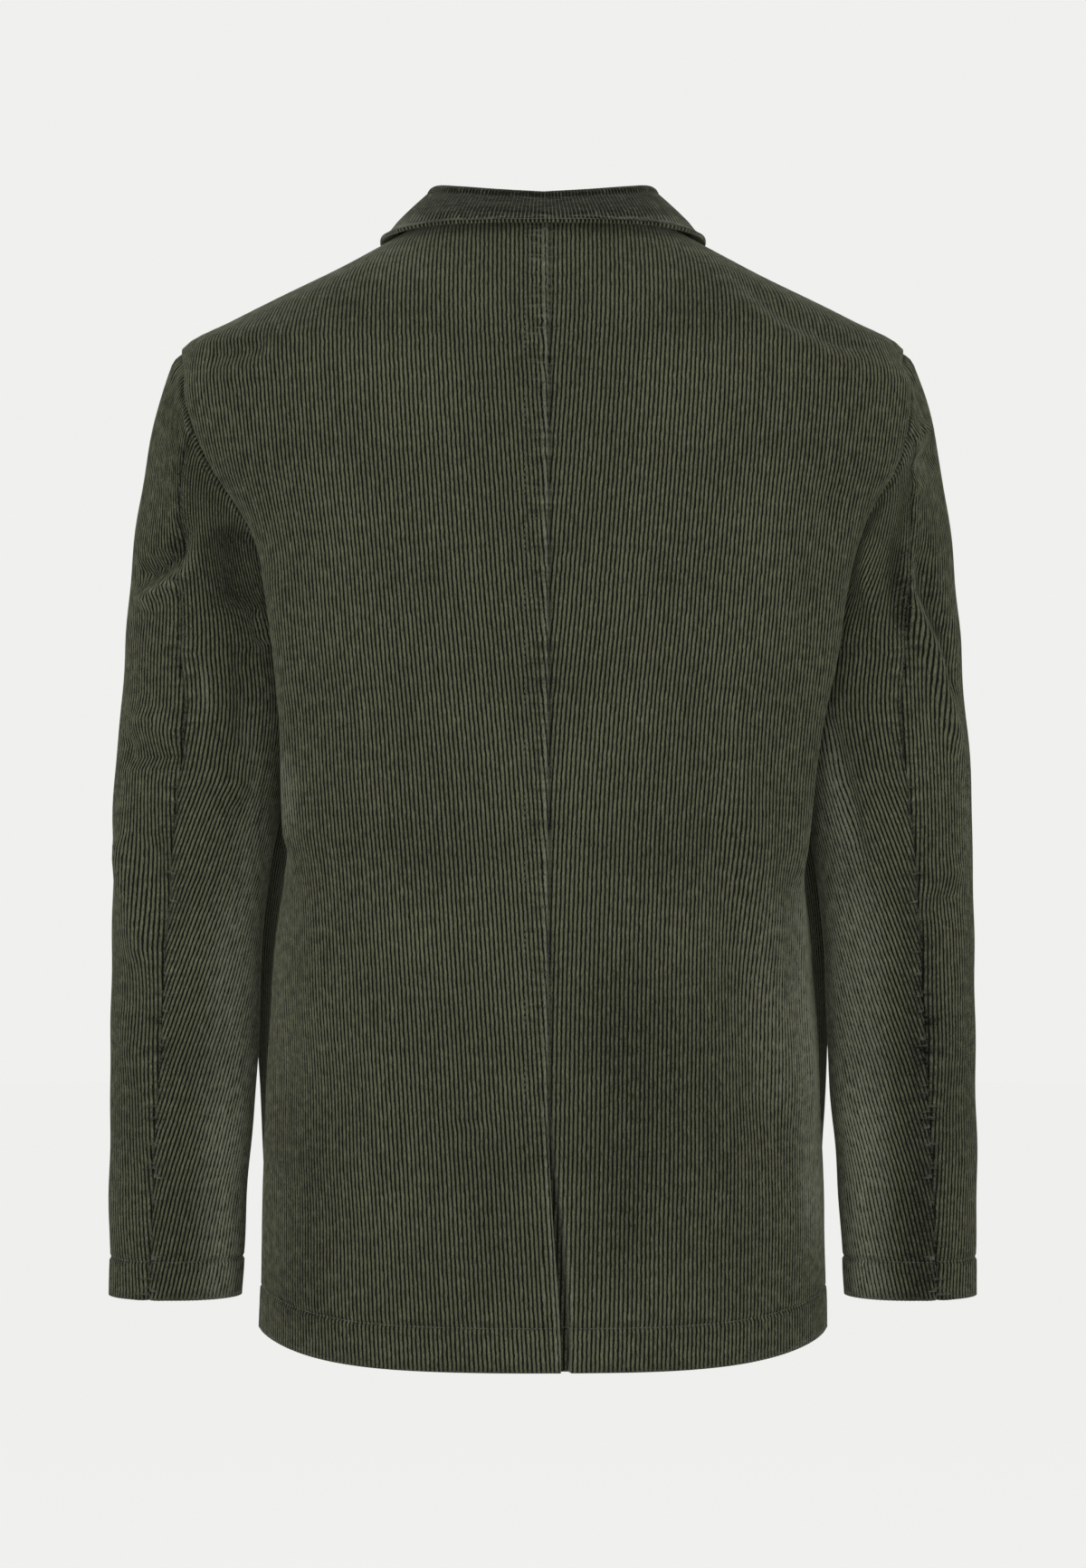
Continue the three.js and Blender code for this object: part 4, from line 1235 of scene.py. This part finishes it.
def sleeve_panel(side, which, word):
    """One sleeve panel, with the line of its cuff's stitches."""
    name = f"{which}_sleeve_{word}"
    rows = lay_out_sleeve(side, which)
    row, turn, to_armhole = rows["row"], rows["turn"], rows["to_armhole"]
    edges = rows["to_back"], rows["to_front"], to_armhole
    points = sleeve_surface(side, row, turn)
    outs = sleeve_out(side, row, turn)
    above_cuff = points[..., 2] - CUFF
    beside = bell(to_armhole - EASE_AT, EASE_WIDTH)
    # strokes fade where the sleeve turns to its other face, counted from its own middle
    seen = points.copy()
    seen[..., 1] -= smooth_rows(SLEEVE, np.minimum(points[..., 2], CAP_END))[..., 3]
    lift = wale_height(rows["across"]) + sum(seam_form(edge) for edge in edges)
    lift += strokes(CREASES, f"sleeve_{word}", seen, SLEEVE_EDGE) * smoothstep(row, *CREASES_FROM)
    lift += slack(points, SLEEVE_SLACK) * smoothstep(row, *SLACK_FROM)
    lift += turned_hem(above_cuff, CUFF_STITCH)
    lift += EASE_RISE * beside * np.sin(turn / 3.1 + 1.7 * np.sin(turn / 11))
    pucker = pucker_near(*edges, np.abs(above_cuff - CUFF_STITCH) + CUFF_CALM)
    nap_and_painted_light = strokes(PILE_AND_PAINTED_LIGHT_STROKES, f"sleeve_{word}", seen, SLEEVE_EDGE) + seam_shade(*edges)
    nap_and_painted_light += EASE_SHINE * beside + stitch_shade(above_cuff - CUFF_STITCH)
    sewn_in = (1 - smoothstep(to_armhole, 0, ARMHOLE_TURN))[..., None]
    points = points + outs * lift[..., None] * (1 - sewn_in)
    points = points - sink_at_armhole(side, turn) * sewn_in
    on_cloth = np.stack([rows["across"], to_armhole], axis=-1)
    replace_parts(lay_cloth(name, points, outs, on_cloth, pucker, nap_and_painted_light), name)
    stitch_lines[name] = [level_line(above_cuff, CUFF_STITCH, points, outs)]


for word, side in (("left", 1), ("right", -1)):
    sleeve_panel(side, "top", word)
    sleeve_panel(side, "under", word)

# %% [markdown]
# ## Collar
# The collar is one band. It stands up from the neck seam, folds over, and falls on the back.
# Its wales run up the stand, over the fold and down the fall.

# %% Collar
# at, then x, y and z of the neck seam, of the fold and of the fall's edge
COLLAR = np.array([
    (0, 0, 63, 13, 0, 53, 27, 0, 78, 5),
    (0.2, 33, 61, 13, 28, 50, 29, 36, 76, 5),
    (0.4, 62, 46, 13, 55, 36, 33, 69, 64, 5),
    (0.55, 76, 24, 13, 67, 17, 36, 93, 37, 4),
    (0.7, 79.5, 0, 13, 69.5, -3, 35, 103, -4, 4),
    (0.85, 76, -14, 13.2, 70, -21, 27, 102, -36, -5),
    (1, 72, -24, 13.4, 70, -35, 18, 97, -62, -19),
], float)
FOLD_ROUND = 3.4
COLLAR_STITCH = 6
COLLAR_HALF_LENGTH = 190  # along the band from the centre back to its front end
FALL_BULGE = 1.2
EDGE_PLUMP = {"at": 5, "rise": 0.7, "width": 2.5}  # the doubled cloth inside the fall's edge
EDGE_HIGHLIGHT = {"at": 5, "rise": 0.35, "width": 3}  # and a painted highlight on it


def collar_band(at):
    """Points of the band's profile at a place round the neck, from the seam to the fall's edge."""
    row = smooth_rows(COLLAR, np.abs(at))
    sides = np.stack([np.sign(at) + (at == 0), np.ones(len(at)), np.ones(len(at))], axis=-1)
    seam, fold, edge = (row[:, k:k + 3] * sides for k in (1, 4, 7))
    level = np.array([1, 1, 0])
    out = unit((edge - fold) * level)
    up = np.array([0, 0, 1.0])
    centre = fold - FOLD_ROUND * up
    inside = centre - FOLD_ROUND * out
    outside = centre + FOLD_ROUND * out
    profile = [seam + (inside - seam) * t for t in np.linspace(0, 1, 7)[:-1]]
    for turn in np.linspace(0, math.pi, 9):
        profile.append(centre + FOLD_ROUND * (up * math.sin(turn) - out * math.cos(turn)))
    for t in np.linspace(0, 1, 12)[1:]:
        bulge = FALL_BULGE * math.sin(math.pi * t) * out
        profile.append(outside + (edge - outside) * t + bulge)
    return np.stack(profile, axis=0)


def make_collar():
    """The collar's cloth, with the line of stitches beside its edge."""
    along = np.arange(-COLLAR_HALF_LENGTH, COLLAR_HALF_LENGTH + COLUMN_STEP, COLUMN_STEP)
    points = collar_band(np.clip(along / COLLAR_HALF_LENGTH, -1, 1))
    fall = np.gradient(points, axis=0)
    round_neck = np.gradient(points, axis=1)
    outs = unit(np.cross(fall, round_neck))
    down = lengths_along(points[:, len(along) // 2])
    along, down = np.broadcast_arrays(along[None, :], down[:, None])
    to_edge = down[-1:] - down
    to_end = COLLAR_HALF_LENGTH - np.abs(along)
    lift = wale_height(along) - 1.2 * bell(to_edge, 1.5)
    lift = lift + hump(to_edge, **EDGE_PLUMP) - 0.9 * bell(to_end, 1.6)
    points = points + outs * lift[..., None]
    on_cloth = np.stack([along, down], axis=-1)
    pucker = 0.4 * pucker_near(to_edge, to_end)
    # a painted highlight on the fall's rolled edge
    nap_and_painted_light = hump(to_edge, **EDGE_HIGHLIGHT) + 0.1
    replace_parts(lay_cloth("collar", points, outs, on_cloth, pucker, nap_and_painted_light), "collar")
    stitch_lines["collar"] = [level_line(-to_edge, -COLLAR_STITCH, points, outs)]


make_collar()

# %% [markdown]
# ## Stitching
# A machine's stitch is a short length of thread that dives into the cloth at both ends. The
# thread has the cloth's colour, so the rows show as fine dashes in the grooves they pull in.
# A stitch repeats many hundreds of times, so each one has only twenty faces.

# %% Rows of stitches
STITCH_PITCH = 3.4
STITCH = (2.5, 0.62, 0.55)  # length, width and height of one stitch
STITCH_STAND = 0.15  # how far its middle stands off the cloth

thread, _ = new_finish("thread", Roughness=0.6, Base_Color=(0.045, 0.048, 0.03, 1), Sheen_Weight=0.3)


def add_stitch(bm, middle, along, out, size=STITCH):
    """One stitch at a place on the cloth, in millimetres."""
    axes = np.stack([along, unit(np.cross(out, along)), out], axis=-1) * np.array(size) / 2
    place = Matrix(axes.tolist()).to_4x4()
    place.translation = middle
    bmesh.ops.create_icosphere(bm, subdivisions=1, radius=1, matrix=Matrix.Scale(MM, 4) @ place)


def sew(bm, line, outs):
    """A row of stitches along a line on the cloth."""
    lengths = lengths_along(line)
    places = np.arange(STITCH_PITCH, lengths[-1] - STITCH_PITCH, STITCH_PITCH)

    def read(values, at):
        return np.stack([np.interp(at, lengths, values[:, k]) for k in range(3)], axis=-1)

    ahead = unit(read(line, places + WALE) - read(line, places - WALE))
    for middle, along, out in zip(read(line, places), ahead, unit(read(outs, places))):
        add_stitch(bm, middle + STITCH_STAND * out, along, out)
    return len(places)


def keep_thread(name, bm):
    """The finished stitches as a piece of their own."""
    mesh = keep_mesh(bm, bpy.data.meshes.new(name))
    finish_smooth(mesh, thread)
    piece = link(name, mesh)
    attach(piece, "root")
    return piece


threads = {}
for name, lines in stitch_lines.items():
    bm = bmesh.new()
    count = sum(sew(bm, *line) for line in lines)
    threads[name] = [keep_thread(f"{name}_stitches", bm)]
    print(name, "has", count, "stitches")

# %% [markdown]
# ## Buttons and buttonholes
# The hidden front closes with two horn buttons. A turned horn button has a raised rim, a dish
# and four holes, and horn is mottled right through. The hole's edge is worked with thread, and
# the button sits at the end of it nearest to the front's edge.

# %% The horn
BUTTON_RADIUS = 11
BUTTON_THICKNESS = 4
BUTTON_STAND = 0.6
BUTTON_HEIGHTS = {"button_upper": -340, "button_lower": -450}
HOLE_OFFSET = 1.9  # of the four holes from the button's middle, across and up
HOLE_RADIUS = 1.0
HOLE_DEPTH = 2.4
DISH = 1.1  # height of the dish in the middle of the face
# radius and height of the button's profile, from the middle of its face to the middle of its back
FACE = [(0, DISH)] + [(0.4 * k, DISH) for k in range(2, 11)]
RIM = [(4.6, 1.12), (6.2, 1.2), (7.2, 1.4), (7.9, 1.8), (8.6, 2.0), (9.5, 1.95), (10.3, 1.5)]
EDGE_AND_BACK = [(10.8, 0.8), (11, 0), (10.8, -0.8), (10.2, -1.5), (9, -1.9), (6, -2), (0, -2)]
PROFILE = np.array(FACE + RIM + EDGE_AND_BACK, float)


def horn_finish():
    material, shader = new_finish("horn", Roughness=0.34, Coat_Weight=0.25, Coat_Roughness=0.2)
    place = add_node(material, "ShaderNodeTexCoord").outputs["Object"]
    smoke = add_node(
        material, "ShaderNodeTexNoise", {"Vector": place, "Scale": 160, "Detail": 4, "Distortion": 1.5},
    ).outputs["Fac"]
    colour = add_node(material, "ShaderNodeValToRGB", {"Fac": smoke})
    ramp = colour.color_ramp.elements
    ramp[0].position, ramp[0].color = 0.38, (0.012, 0.009, 0.007, 1)
    ramp[1].position, ramp[1].color = 0.68, (0.085, 0.052, 0.028, 1)
    material.node_tree.links.new(colour.outputs["Color"], shader.inputs["Base Color"])
    return material


horn = horn_finish()


# %% The buttons
def button_place(z):
    """A button's middle on the closed front, and the ways across, up and out there."""
    ends = np.array([z + BUTTON_RADIUS, z - BUTTON_RADIUS], float)
    above, below = body_surface(1, ends, angle_at_x(1, -1, ends, 0))
    across = np.array([1.0, 0, 0])
    outward = unit(np.cross(across, above - below))
    upward = np.cross(outward, across)
    middle = (above + below) / 2 + outward * (BUTTON_THICKNESS / 2 + BUTTON_STAND)
    return middle, across, upward, outward


def turn_button(name, middle, across, upward, outward):
    """A horn button: its profile turned round, with four holes sunk in its face."""
    turn = np.linspace(0, 2 * math.pi, 65)
    radius, height = PROFILE[:, :1], PROFILE[:, 1:]
    right, up = radius * np.cos(turn), radius * np.sin(turn)
    away = np.hypot(np.abs(right) - HOLE_OFFSET, np.abs(up) - HOLE_OFFSET)
    sunk = HOLE_DEPTH * (1 - smoothstep(away, 0.7 * HOLE_RADIUS, HOLE_RADIUS)) * (height > 0)
    shape = right[..., None] * across + up[..., None] * upward + (height - sunk)[..., None] * outward
    mesh = grid_mesh(name, middle + shape)
    bm = bmesh.new()
    bm.from_mesh(mesh)
    bmesh.ops.remove_doubles(bm, verts=bm.verts, dist=0.01 * MM)
    bmesh.ops.recalc_face_normals(bm, faces=bm.faces)
    finish_smooth(keep_mesh(bm, mesh), horn)
    button = link(f"{name}_horn", mesh)
    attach(button, "root")
    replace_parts(button, name)
    print(name, "faces", len(mesh.polygons))


# %% The thread of the buttons and buttonholes
BAR = (2 * HOLE_OFFSET + 1.2, 0.5, 0.5)  # one thread between two holes
BAR_STAND = 1.2  # its height over the button's middle
BAR_GAP = 0.25  # half the distance between the two threads of a bar
BUTTONHOLE = (9, 23)  # where the hole starts and ends on the left front
PURL = (1.7, 0.75, 0.7)  # one stitch across the hole's edge
PURL_PITCH = 0.9
PURL_STAND = 0.75  # from the cloth to the middle of a stitch
PURL_OFFSET = 1.05  # from the hole's middle to the middle of a stitch


def sew_button(bm, middle, across, upward, outward):
    """The thread between a button's holes: two bars, one above the other."""
    for k in (-1, 1):
        bar = middle + HOLE_OFFSET * k * upward + BAR_STAND * outward
        for shift in (-BAR_GAP, BAR_GAP):
            add_stitch(bm, bar + shift * upward, across, outward, BAR)


def work_buttonhole(bm, z, upward):
    """The close stitches along both edges of a buttonhole."""
    x = np.arange(*BUTTONHOLE, PURL_PITCH)
    heights = np.full(x.shape, float(z))
    angle = angle_at_x(1, -1, heights, x)
    outs = body_out(1, heights, angle)
    for place, out in zip(body_surface(1, heights, angle) + PURL_STAND * outs, outs):
        for k in (-1, 1):
            add_stitch(bm, place + k * PURL_OFFSET * upward, upward, out, PURL)


for name, z in BUTTON_HEIGHTS.items():
    place = button_place(z)
    turn_button(name, *place)
    bm = bmesh.new()
    sew_button(bm, *place)
    work_buttonhole(bm, z, place[2])
    threads["front_left"].append(keep_thread(f"{name}_thread", bm))

# %% [markdown]
# ## How many triangles
# The script prints about how many triangles the shown pieces have, in all and in the largest piece.

# %% How much the script adds
shown = {piece.name: len(piece.data.polygons) * (4 if piece.modifiers else 2)
         for piece in scene.objects if piece.type == "MESH" and not piece.hide_render}
print("about", sum(shown.values()), "triangles, at most", max(shown.values()), "in a piece")
